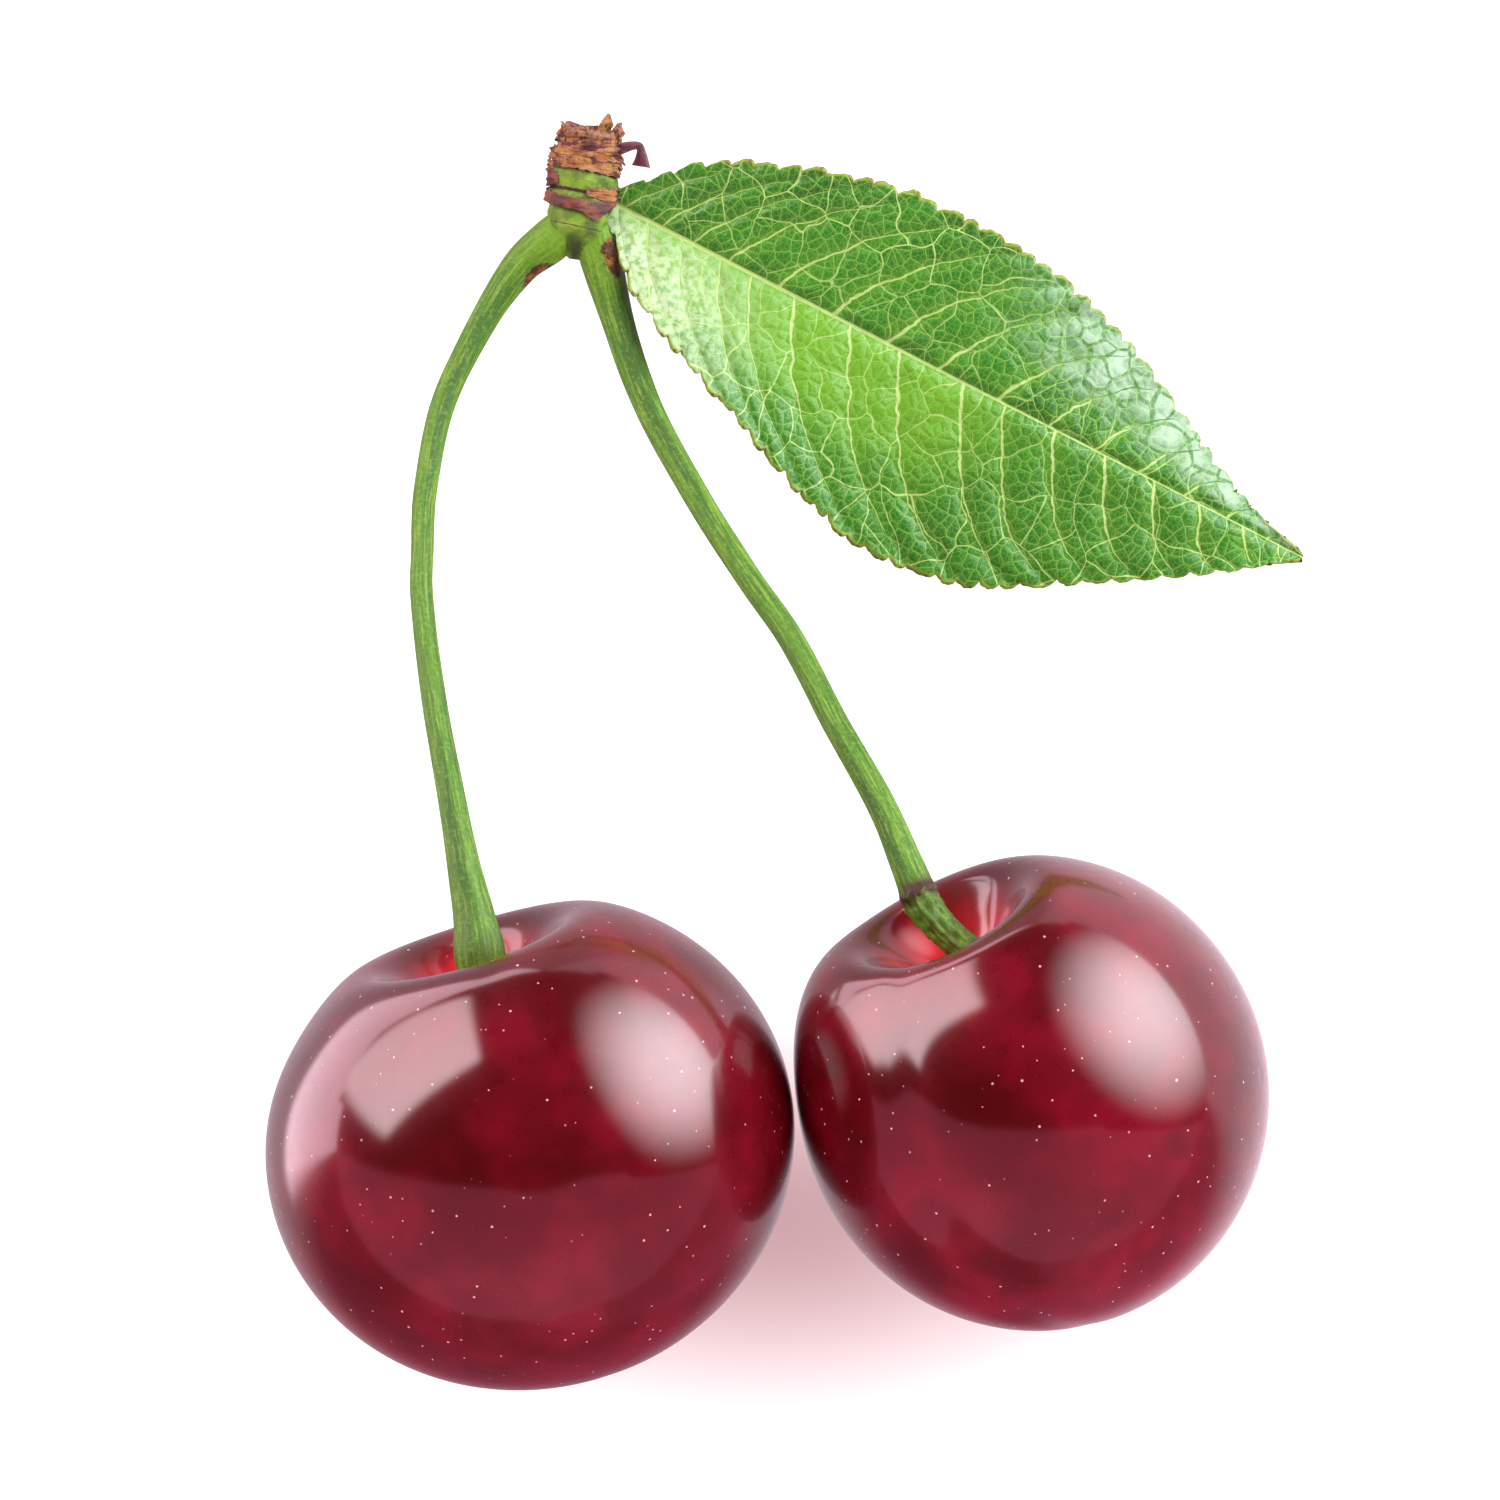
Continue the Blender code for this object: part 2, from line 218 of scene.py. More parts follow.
class Board:
    """Lays out shader nodes in one tree, from left to right."""

    def __init__(self, tree: bpy.types.NodeTree) -> None:
        """Starts on a node tree."""
        self.tree = tree
        self.count = 0

    def node(self, kind: str, **settings: object) -> bpy.types.Node:
        """Adds a node of the kind, with its settings.

        Args:
            kind: the node's type name.
            settings: attributes to set on it.

        Returns:
            The node.
        """
        made = self.tree.nodes.new(kind)
        made.location = (180 * (self.count % 12), -240 * (self.count // 12))
        self.count += 1
        for name, value in settings.items():
            setattr(made, name, value)
        return made

    def feed(self, socket: Socket, value: object) -> None:
        """Links the socket to another one, or sets its value.

        Args:
            socket: the input to feed.
            value: a socket, a number, a vector or a colour.
        """
        if isinstance(value, bpy.types.NodeSocket):
            self.tree.links.new(value, socket)
        elif isinstance(value, tuple) and len(value) == 3 and len(socket.default_value) == 4:
            socket.default_value = (*value, 1.0)
        else:
            socket.default_value = value

    def math(self, operation: str, *values: object, clamp: bool = False) -> Socket:
        """A Math node on up to three numbers or sockets.

        Args:
            operation: the node's operation.
            values: its numbers or sockets, in order.
            clamp: whether to hold the result between 0 and 1.

        Returns:
            The result.
        """
        made = self.node("ShaderNodeMath", operation=operation, use_clamp=clamp)
        for socket, value in zip(made.inputs, values):
            self.feed(socket, value)
        return made.outputs[0]

    def times(self, first: object, second: object, clamp: bool = False) -> Socket:
        """The product of two numbers."""
        return self.math("MULTIPLY", first, second, clamp=clamp)

    def plus(self, first: object, second: object) -> Socket:
        """The sum of two numbers."""
        return self.math("ADD", first, second)

    def minus(self, first: object, second: object) -> Socket:
        """The first number less the second."""
        return self.math("SUBTRACT", first, second)

    def over(self, first: object, second: object) -> Socket:
        """The first number divided by the second."""
        return self.math("DIVIDE", first, second)

    def greater(self, first: object, second: object) -> Socket:
        """The greater of two numbers."""
        return self.math("MAXIMUM", first, second)

    def span(
        self, value: object, low: object, high: object, start: object = 0.0, end: object = 1.0
    ) -> Socket:
        """Maps low..high to start..end smoothly, and holds it beyond.

        Args:
            value: what is mapped.
            low: the value that gives start.
            high: the value that gives end.
            start: the first result.
            end: the last result.

        Returns:
            The result.
        """
        made = self.node("ShaderNodeMapRange", interpolation_type="SMOOTHSTEP")
        for socket, given in zip(made.inputs, (value, low, high, start, end)):
            self.feed(socket, given)
        return made.outputs[0]

    def mix(self, share: object, first: object, second: object) -> Socket:
        """Mixes two colours.

        Args:
            share: how much of the second shows, from 0 to 1.
            first: the colour at 0.
            second: the colour at 1.

        Returns:
            The mixed colour.
        """
        made = self.node("ShaderNodeMix", data_type="RGBA")
        self.feed(made.inputs[0], share)
        self.feed(made.inputs[6], first)
        self.feed(made.inputs[7], second)
        return made.outputs[2]

    def attribute(self, name: str) -> bpy.types.Node:
        """Reads a named attribute of the mesh."""
        return self.node("ShaderNodeAttribute", attribute_name=name)

    def parts(self, vector: Socket) -> list[Socket]:
        """The three numbers in a vector.

        Args:
            vector: the vector to split.

        Returns:
            Its x, y and z.
        """
        made = self.node("ShaderNodeSeparateXYZ")
        self.feed(made.inputs[0], vector)
        return list(made.outputs)

    def join(self, x: object, y: object, z: object) -> Socket:
        """A vector of three numbers.

        Args:
            x: its first number.
            y: its second.
            z: its third.

        Returns:
            The vector.
        """
        made = self.node("ShaderNodeCombineXYZ")
        for socket, value in zip(made.inputs, (x, y, z)):
            self.feed(socket, value)
        return made.outputs[0]

    def place(self) -> Socket:
        """Object coordinates in millimetres."""
        where = self.node("ShaderNodeTexCoord").outputs["Object"]
        return self.scaled(where, 1 / MM)

    def scaled(self, vector: Socket, amount: object) -> Socket:
        """A vector times a number.

        Args:
            vector: the vector.
            amount: the number.

        Returns:
            The longer or shorter vector.
        """
        made = self.node("ShaderNodeVectorMath", operation="SCALE")
        self.feed(made.inputs[0], vector)
        self.feed(made.inputs["Scale"], amount)
        return made.outputs[0]

    def noise(self, where: Socket, scale: object, detail: float = 2.0, rough: float = 0.5) -> Socket:
        """Noise from 0 to 1 at so many cells a millimetre.

        Args:
            where: the place, in millimetres.
            scale: cells a millimetre.
            detail: how many finer layers it has.
            rough: how strong the finer layers are.

        Returns:
            The noise.
        """
        made = self.node("ShaderNodeTexNoise")
        self.settle(made, {"Vector": where, "Scale": scale, "Detail": detail, "Roughness": rough})
        return made.outputs["Fac"]

    def group(self, tree: bpy.types.NodeTree, **values: object) -> bpy.types.Node:
        """Places a node group and feeds its inputs by name.

        Args:
            tree: the group.
            values: what its inputs take.

        Returns:
            The group's node.
        """
        made = self.node("ShaderNodeGroup", node_tree=tree)
        for name, value in values.items():
            self.feed(made.inputs[name.replace("_", " ")], value)
        return made

    def settle(self, node: bpy.types.Node, values: dict[str, object]) -> None:
        """Sets or links a node's sockets by name.

        Args:
            node: the node.
            values: values by the name of their socket.
        """
        for name, value in values.items():
            self.feed(node.inputs[name], value)

    def bump(self, height: Socket, distance: float, strength: float = 1.0) -> Socket:
        """A bump of so many millimetres.

        Args:
            height: the relief, from 0 to 1.
            distance: its height in millimetres.
            strength: how much of it shows.

        Returns:
            The bumped normal.
        """
        made = self.node("ShaderNodeBump")
        self.feed(made.inputs["Height"], height)
        made.inputs["Distance"].default_value = distance * MM
        made.inputs["Strength"].default_value = strength
        return made.outputs[0]


def new_group(
    name: str, inputs: dict[str, str], outputs: tuple[str, ...]
) -> tuple[Board, bpy.types.Node, bpy.types.Node]:
    """Starts a node group.

    Args:
        name: the group's name.
        inputs: input names with their socket kinds, Vector or Float.
        outputs: names of its numbers out.

    Returns:
        A board on it, its input node and its output node.
    """
    tree = bpy.data.node_groups.new(name, "ShaderNodeTree")
    for label, kind in inputs.items():
        tree.interface.new_socket(name=label, in_out="INPUT", socket_type=f"NodeSocket{kind}")
    for label in outputs:
        tree.interface.new_socket(name=label, in_out="OUTPUT", socket_type="NodeSocketFloat")
    board = Board(tree)
    return board, board.node("NodeGroupInput"), board.node("NodeGroupOutput")


class Effects:
    """Node groups that several finishes share, each built once."""

    def __init__(self) -> None:
        """Builds the groups."""
        self.dots = self._dots()
        self.blotches = self._blotches()
        self.fibres = self._fibres()
        self.net = self._net()

    def _dots(self) -> bpy.types.NodeTree:
        """Scattered round dots: Cell apart, Radius wide, only a Share of cells holding one.

        Returns:
            The group.
        """
        board, given, out = new_group(
            "scattered_dots",
            {"Vector": "Vector", "Cell": "Float", "Radius": "Float", "Share": "Float"},
            ("Mask",),
        )
        cells = board.node("ShaderNodeTexVoronoi", feature="F1")
        board.feed(cells.inputs["Vector"], given.outputs["Vector"])
        board.feed(cells.inputs["Scale"], board.over(1.0, given.outputs["Cell"]))
        chance = board.parts(cells.outputs["Color"])
        reach = board.over(given.outputs["Radius"], given.outputs["Cell"])
        size = board.times(reach, board.plus(0.6, board.times(chance[1], 0.8)))
        near = board.span(cells.outputs["Distance"], board.times(size, 0.35), size, 1.0, 0.0)
        kept = board.math("LESS_THAN", chance[0], given.outputs["Share"])
        board.feed(out.inputs["Mask"], board.times(near, kept))
        return board.tree

    def _blotches(self) -> bpy.types.NodeTree:
        """Soft patches Size across that cover more as Cover rises.

        Returns:
            The group.
        """
        board, given, out = new_group(
            "soft_blotches",
            {"Vector": "Vector", "Size": "Float", "Cover": "Float", "Softness": "Float"},
            ("Mask",),
        )
        cloud = board.noise(given.outputs["Vector"], board.over(1.0, given.outputs["Size"]), 4.0, 0.6)
        edge = board.minus(0.8, board.times(given.outputs["Cover"], 0.6))
        low = board.minus(edge, given.outputs["Softness"])
        high = board.plus(edge, given.outputs["Softness"])
        board.feed(out.inputs["Mask"], board.span(cloud, low, high))
        return board.tree

    def _fibres(self) -> bpy.types.NodeTree:
        """Lengthwise streaks on a grown stem, read from its run attribute.

        Returns:
            The group.
        """
        board, given, out = new_group(
            "lengthwise_fibres", {"Vector": "Vector", "Across": "Float", "Along": "Float"}, ("Mask",)
        )
        x, y, z = board.parts(given.outputs["Vector"])
        where = board.join(
            board.times(x, given.outputs["Across"]),
            board.times(y, given.outputs["Across"]),
            board.times(z, given.outputs["Along"]),
        )
        board.feed(out.inputs["Mask"], board.noise(where, 1.0, 3.0, 0.6))
        return board.tree

    def _net(self) -> bpy.types.NodeTree:
        """A net of fine lines around cells: Line is 1 on a line, Cushion rises inside a cell.

        Returns:
            The group.
        """
        board, given, out = new_group(
            "cell_net", {"Vector": "Vector", "Cell": "Float", "Width": "Float"}, ("Line", "Cushion")
        )
        cells = board.node("ShaderNodeTexVoronoi", feature="DISTANCE_TO_EDGE", voronoi_dimensions="2D")
        board.feed(cells.inputs["Vector"], given.outputs["Vector"])
        board.feed(cells.inputs["Scale"], board.over(1.0, given.outputs["Cell"]))
        away = board.times(cells.outputs["Distance"], given.outputs["Cell"])
        half = board.times(given.outputs["Width"], 0.5)
        board.feed(out.inputs["Line"], board.span(away, board.times(half, 0.4), half, 1.0, 0.0))
        board.feed(
            out.inputs["Cushion"], board.span(away, 0.0, board.times(given.outputs["Cell"], 0.35))
        )
        return board.tree


def new_material(name: str) -> tuple[bpy.types.Material, Board, bpy.types.Node]:
    """A fresh material with its board and its Principled shader.

    Args:
        name: the finish's name.

    Returns:
        The material, a board on its nodes and its Principled shader.
    """
    material = bpy.data.materials.new(name)
    material.use_nodes = True
    board = Board(material.node_tree)
    return material, board, material.node_tree.nodes["Principled BSDF"]


# ---------------------------------------------------------------- cherries


@dataclass(frozen=True)
class CherrySkin:
    """Taut, wet-looking dark red skin with pale pores, a few dark pits and a painted red glow in the
    stalk hollow.
    """

    name: str = "cherry_skin"
    deep: Colour = (0.060, 0.0009, 0.0014)
    bright: Colour = (0.150, 0.0018, 0.0085)
    hollow_glow: Colour = (0.78, 0.022, 0.040)
    pore: Colour = (0.85, 0.48, 0.54)
    pit: Colour = (0.012, 0.001, 0.001)
    pore_cell: float = 0.72
    pore_radius: float = 0.07
    pore_share: float = 0.85
    pit_cell: float = 7.5
    pit_radius: float = 0.42
    pit_share: float = 0.25
    roughness: float = 0.3
    ior: float = 1.48
    gloss_weight: float = 1.0
    gloss_roughness: float = 0.115
    gloss_ior: float = 1.62
    shine: float = 0.42
    shine_tint: Colour = (1.0, 0.12, 0.2)
    relief_height: float = 0.05

    def make(self, effects: Effects) -> bpy.types.Material:
        """Builds the material.

        Args:
            effects: the shared node groups.

        Returns:
            The finish.
        """
        material, board, skin = new_material(self.name)
        where = board.place()
        mottle = board.noise(where, 0.2, 2.0, 0.5)
        flesh = board.mix(board.span(mottle, 0.32, 0.7), self.deep, self.bright)
        # painted glow: the stalk hollow is painted brighter red, as light shining through the flesh
        hollow = board.attribute("hollow").outputs["Fac"]
        flesh = board.mix(board.times(hollow, 0.9), flesh, self.hollow_glow)
        veil = board.span(board.noise(where, 0.45, 1.0), 0.4, 0.64)
        flesh = board.mix(board.times(veil, 0.4), flesh, self.deep)
        pores = board.group(
            effects.dots,
            Vector=where,
            Cell=self.pore_cell,
            Radius=self.pore_radius,
            Share=self.pore_share,
        ).outputs[0]
        flesh = board.mix(board.times(pores, 0.85), flesh, self.pore)
        pits = board.group(
            effects.dots, Vector=where, Cell=self.pit_cell, Radius=self.pit_radius, Share=self.pit_share
        ).outputs[0]
        flesh = board.mix(board.times(pits, 0.7), flesh, self.pit)
        board.feed(skin.inputs["Base Color"], flesh)
        fine = board.noise(where, 1.6, 2.0)
        rough = board.span(fine, 0.3, 0.7, self.roughness - 0.03, self.roughness + 0.05)
        board.feed(skin.inputs["Roughness"], rough)
        constants = {
            "IOR": self.ior,
            "Coat Weight": self.gloss_weight,
            "Coat Roughness": self.gloss_roughness,
            "Coat IOR": self.gloss_ior,
            "Specular IOR Level": self.shine,
            "Specular Tint": self.shine_tint,
        }
        board.settle(skin, constants)
        relief = board.minus(board.times(pores, 0.12), pits)
        relief = board.plus(relief, board.times(board.noise(where, 0.5, 2.0), 0.5))
        board.feed(skin.inputs["Normal"], board.bump(relief, self.relief_height))
        return material


@dataclass
class Cherry:
    """One cherry: a broad drupe with a hollow at its stalk end and a faint suture line."""

    node: str
    slot: str
    lean_deg: float
    raise_deg: float
    half: tuple[float, float, float]
    hollow_depth: float
    hollow_radius: float
    hollow_power: float
    suture_depth: float
    suture_turn_deg: float
    cheek: tuple[float, float, float, float]
    rest_cut: float = 0.2
    scar_depth: float = 0.35
    scar_radius: float = 1.6
    sides: int = 256
    rings: int = 192

    def surface(self, polar: float, around: float) -> Vector:
        """A point of the skin in the cherry's own axes, with z along the core to the stalk.

        Args:
            polar: angle from the stalk end, in radians.
            around: angle around the core, in radians.

        Returns:
            The point, in millimetres.
        """
        x = self.half[0] * math.sin(polar) * math.cos(around)
        y = self.half[1] * math.sin(polar) * math.sin(around)
        z = self.half[2] * math.cos(polar)
        out = math.hypot(x, y)
        if z > 0:
            z -= self.hollow_depth * math.exp(-((out / self.hollow_radius) ** self.hollow_power))
        else:
            z += self.scar_depth * bell(out, self.scar_radius)
        swell, cheek_polar, cheek_around, width = self.cheek
        cheek_polar, cheek_around = math.radians(cheek_polar), math.radians(cheek_around)
        facing = math.cos(polar) * math.cos(cheek_polar)
        facing += math.sin(polar) * math.sin(cheek_polar) * math.cos(around - cheek_around)
        swell *= bell(math.acos(max(-1.0, min(1.0, facing))), math.radians(width))
        turn = math.radians(self.suture_turn_deg - 90)
        away = math.atan2(math.sin(around - turn), math.cos(around - turn))
        groove = self.suture_depth * bell(away, 0.16) * math.sin(polar) ** 2
        outwards = 1 + (swell - groove) / self.half[0]
        return Vector((x * outwards, y * outwards, z * outwards))

    def build(self, skin: bpy.types.Material) -> bpy.types.Object:
        """Shapes a sphere into the cherry and lays it on its resting flat.

        Args:
            skin: its finish.

        Returns:
            The cherry.
        """
        mesh = bmesh.new()
        bmesh.ops.create_uvsphere(mesh, u_segments=self.sides, v_segments=self.rings, radius=1.0)
        shade = mesh.verts.layers.float.new("hollow")
        for v in mesh.verts:
            polar = math.acos(max(-1.0, min(1.0, v.co.z)))
            around = math.atan2(v.co.y, v.co.x)
            v.co = self.surface(polar, around)
            out = math.hypot(v.co.x, v.co.y)
            # marks the stalk hollow for the skin's painted glow
            v[shade] = (1 - ease(0.55, 1.15, out / self.hollow_radius)) if v.co.z > 0 else 0.0
            dent = 0.05 * (0.5 + 0.5 * noise.noise(v.co * 0.16 + Vector((self.lean_deg, 0, 0))))
            v.co *= 1 - dent / self.half[0]
        lean, lift = math.radians(self.lean_deg), math.radians(self.raise_deg)
        across = Vector((math.cos(lean), math.sin(lean), 0))
        level = Vector((-math.sin(lean), math.cos(lean), 0)) * math.cos(lift)
        along = level + Vector((0, 0, math.sin(lift)))
        axes = Matrix((across, along.cross(across), along)).transposed()
        bmesh.ops.transform(mesh, matrix=axes.to_4x4(), verts=mesh.verts)
        self._lay_down(mesh)
        return finish_piece(mesh, self.node, self.slot, skin, self.node)

    def _lay_down(self, mesh: bmesh.types.BMesh) -> None:
        """Puts the cherry where the CAD one rests and flattens its underside.

        Args:
            mesh: the cherry, turned as it lies.
        """
        low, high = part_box(self.node)
        lowest = min(v.co.z for v in mesh.verts)
        spans = [(min(v.co[k] for v in mesh.verts), max(v.co[k] for v in mesh.verts)) for k in (0, 1)]
        moves = [(low[k] + high[k]) / 2 / MM - sum(spans[k]) / 2 for k in (0, 1)]
        drop = low[2] / MM - self.rest_cut - lowest
        bmesh.ops.translate(mesh, verts=mesh.verts, vec=(*moves, drop))
        bmesh.ops.bisect_plane(
            mesh,
            geom=mesh.verts[:] + mesh.edges[:] + mesh.faces[:],
            dist=1e-5,
            plane_co=(0, 0, low[2] / MM),
            plane_no=(0, 0, -1),
            clear_outer=True,
        )
        bmesh.ops.holes_fill(mesh, edges=[e for e in mesh.edges if e.is_boundary], sides=0)
        bmesh.ops.recalc_face_normals(mesh, faces=mesh.faces)


# ---------------------------------------------------------------- stalks


@dataclass(frozen=True)
class StalkSkin:
    """Fresh green stalk skin with lengthwise fibres, brown towards the fruit."""

    name: str
    fruit_stain: float = 0.35
    fresh: Colour = (0.095, 0.225, 0.011)
    dark: Colour = (0.040, 0.115, 0.007)
    pale: Colour = (0.27, 0.40, 0.05)
    olive: Colour = (0.07, 0.085, 0.01)
    brown: Colour = (0.05, 0.018, 0.006)
    collar: Colour = (0.16, 0.29, 0.012)
    scab: Colour = (0.26, 0.085, 0.012)
    shine: float = 0.3
    depth_weight: float = 0.15
    depth_tint: Colour = (0.4, 0.8, 0.2)
    depth: float = 0.4
    relief_height: float = 0.08

    def make(self, effects: Effects) -> bpy.types.Material:
        """Builds the material.

        Args:
            effects: the shared node groups.

        Returns:
            The finish.
        """
        material, board, skin = new_material(self.name)
        run = board.attribute("run").outputs["Vector"]
        along = board.attribute("along").outputs["Fac"]
        grain = board.noise(board.place(), 5.0, 3.0, 0.7)
        broad = board.group(effects.fibres, Vector=run, Across=1.1, Along=0.06).outputs[0]
        fine = board.group(effects.fibres, Vector=run, Across=5.5, Along=0.5).outputs[0]
        flesh = board.mix(board.span(broad, 0.42, 0.62), self.fresh, self.dark)
        flesh = board.mix(board.times(board.span(fine, 0.5, 0.66), 0.6), flesh, self.pale)
        flesh = board.mix(board.times(board.span(fine, 0.48, 0.34), 0.6), flesh, self.dark)
        flesh = board.mix(board.times(board.span(grain, 0.5, 0.7), 0.4), flesh, self.pale)
        flesh = board.mix(board.times(board.span(grain, 0.5, 0.34), 0.4), flesh, self.dark)
        near_spur = board.times(board.span(along, 0.14, 0.0), board.span(grain, 0.3, 0.6, 0.5, 1.0))
        flesh = board.mix(near_spur, flesh, self.collar)
        patchy = board.group(effects.blotches, Vector=run, Size=0.9, Cover=0.55, Softness=0.1)
        patches = patchy.outputs[0]
        near_fruit = board.span(along, 0.88, 0.99)
        stained = board.times(near_fruit, board.plus(0.25, patches), clamp=True)
        flesh = board.mix(board.times(stained, self.fruit_stain), flesh, self.olive)
        ring = board.attribute("ring").outputs["Fac"]
        flesh = board.mix(board.times(ring, board.plus(0.55, patches), clamp=True), flesh, self.brown)
        scab = board.attribute("scab").outputs["Fac"]
        crust = board.group(effects.blotches, Vector=run, Size=0.5, Cover=0.48, Softness=0.1).outputs[0]
        rust = board.mix(crust, self.scab, self.brown)
        rust = board.mix(board.times(board.span(scab, 0.72, 0.5), 0.8), rust, self.brown)
        scabby = board.span(board.plus(scab, board.times(crust, 0.2)), 0.45, 0.65)
        flesh = board.mix(scabby, flesh, rust)
        board.feed(skin.inputs["Base Color"], flesh)
        board.feed(skin.inputs["Roughness"], board.span(fine, 0.3, 0.7, 0.36, 0.52))
        constants = {
            "Specular IOR Level": self.shine,
            "Subsurface Weight": self.depth_weight,
            "Subsurface Radius": self.depth_tint,
            "Subsurface Scale": self.depth * MM,
        }
        board.settle(skin, constants)
        relief = board.plus(fine, board.times(board.times(crust, scab), 1.5))
        relief = board.plus(relief, board.times(grain, 0.6))
        board.feed(skin.inputs["Normal"], board.bump(relief, self.relief_height))
        return material


@dataclass
class Stalk:
    """One stalk: a slightly ribbed stem that swells at both ends.

    Its route is rows of x, y, z and radius, from the spur to the fruit.
    """

    node: str
    route: tuple[tuple[float, float, float, float], ...]
    end_ribs: int = 13
    rib_depth: float = 0.05
    ring_at: float = 2.0
    ring_half: float = 0.012
    neck_rough: float = 0.0
    scab_turn: float = 0.0
    scab_at: tuple[float, float] = (0.01, 0.035)
    sides: int = 56
    steps: int = 26

    def build(self, skin: bpy.types.Material) -> bpy.types.Object:
        """Bends a straight tube along the route and dresses its surface.

        Args:
            skin: its finish.

        Returns:
            The stalk.
        """
        rows = through(self.route, self.steps)
        frames = frames_along(rows)
        length = frames[-1][3]
        mesh = spun_tube(len(rows) - 1, self.sides)
        run = mesh.verts.layers.float_vector.new("run")
        layers = {name: mesh.verts.layers.float.new(name) for name in ("along", "ring", "scab")}
        for v in mesh.verts:
            i = min(len(rows) - 1, max(0, round(v.co.z * (len(rows) - 1))))
            around = math.atan2(v.co.y, v.co.x)
            on_rim = min(1.0, math.hypot(v.co.x, v.co.y))
            side, other, point, gone = frames[i]
            along = gone / length
            radius = rows[i][3] * self._section(along, around)
            v.co = point + (side * math.cos(around) + other * math.sin(around)) * radius * on_rim
            v[run] = (math.cos(around), math.sin(around), gone)
            v[layers["along"]] = along
            v[layers["ring"]] = bell(along - self.ring_at, self.ring_half)
            turn = math.atan2(math.sin(around - self.scab_turn), math.cos(around - self.scab_turn))
            v[layers["scab"]] = bell(turn, 0.62) * bell(along - self.scab_at[0], self.scab_at[1])
        return finish_piece(mesh, self.node, "stalk_skin", skin, self.node)

    def _section(self, along: float, around: float) -> float:
        """How far the section stands out there, as a share of its radius.

        Args:
            along: share of the stalk's length from the spur.
            around: angle around it, in radians.

        Returns:
            The share, near 1.
        """
        near_fruit = ease(0.84, 0.97, along)
        ribs = self.rib_depth * near_fruit * math.cos(self.end_ribs * around + 2 * math.sin(3 * around))
        angular = 0.03 * math.cos(5 * around + 3 * along)
        wave = 0.035 * noise.noise(Vector((math.cos(around), math.sin(around), along * 14)))
        beyond = ease(self.ring_at - 0.002, self.ring_at + 0.006, along)
        lump = Vector((math.cos(around) * 3, math.sin(around) * 3, along * 90))
        knots = self.neck_rough * beyond * noise.noise(lump)
        collar = 0.1 * bell(along - self.ring_at, self.ring_half * 0.6)
        return 1 + ribs + angular + wave + knots + collar


# ---------------------------------------------------------------- spur


@dataclass(frozen=True)
class SpurBark:
    """Green young bark crossed by dark scars and tan crusts, with painted shade in the crotch at its
    foot.
    """

    name: str = "spur_bark"
    green: Colour = (0.19, 0.31, 0.014)
    dark_green: Colour = (0.07, 0.12, 0.006)
    tan: Colour = (0.34, 0.12, 0.02)
    wine: Colour = (0.05, 0.005, 0.006)
    mauve: Colour = (0.22, 0.10, 0.12)
    shade: Colour = (0.018, 0.035, 0.004)
    pale: Colour = (0.45, 0.6, 0.15)

    def make(self, effects: Effects) -> bpy.types.Material:
        """Builds the material.

        Args:
            effects: the shared node groups.

        Returns:
            The finish.
        """
        material, board, skin = new_material(self.name)
        run = board.attribute("run").outputs["Vector"]
        where = board.place()
        fine = board.noise(where, 5.0, 4.0, 0.65)
        crust = board.attribute("crust").outputs["Fac"]
        scar = board.attribute("scar").outputs["Fac"]
        broad = board.span(board.noise(where, 1.0, 3.0), 0.35, 0.65)
        flesh = board.mix(broad, self.green, self.dark_green)
        flesh = board.mix(board.times(board.span(fine, 0.55, 0.75), 0.4), flesh, self.pale)
        _, side, at = board.parts(run)
        # painted shade: the bark is darkened in the crotch at the spur's foot
        crotch = board.times(
            board.span(at, -0.15, -0.8), board.span(board.math("ABSOLUTE", side), 0.95, 0.2)
        )
        flesh = board.mix(board.times(crotch, 0.85), flesh, self.shade)
        dry = board.mix(board.span(fine, 0.35, 0.65), self.wine, self.tan)
        stained = board.group(effects.blotches, Vector=run, Size=0.8, Cover=0.35, Softness=0.08)
        dry = board.mix(stained.outputs[0], dry, self.mauve)
        ragged = board.plus(crust, board.times(board.minus(fine, 0.5), 0.9))
        flesh = board.mix(board.span(ragged, 0.4, 0.6), flesh, dry)
        torn = board.plus(scar, board.times(board.minus(fine, 0.5), 0.7))
        flesh = board.mix(board.span(torn, 0.42, 0.62), flesh, self.wine)
        board.feed(skin.inputs["Base Color"], flesh)
        board.feed(skin.inputs["Roughness"], board.span(fine, 0.3, 0.7, 0.45, 0.75))
        board.feed(skin.inputs["Normal"], board.bump(fine, 0.12))
        return material


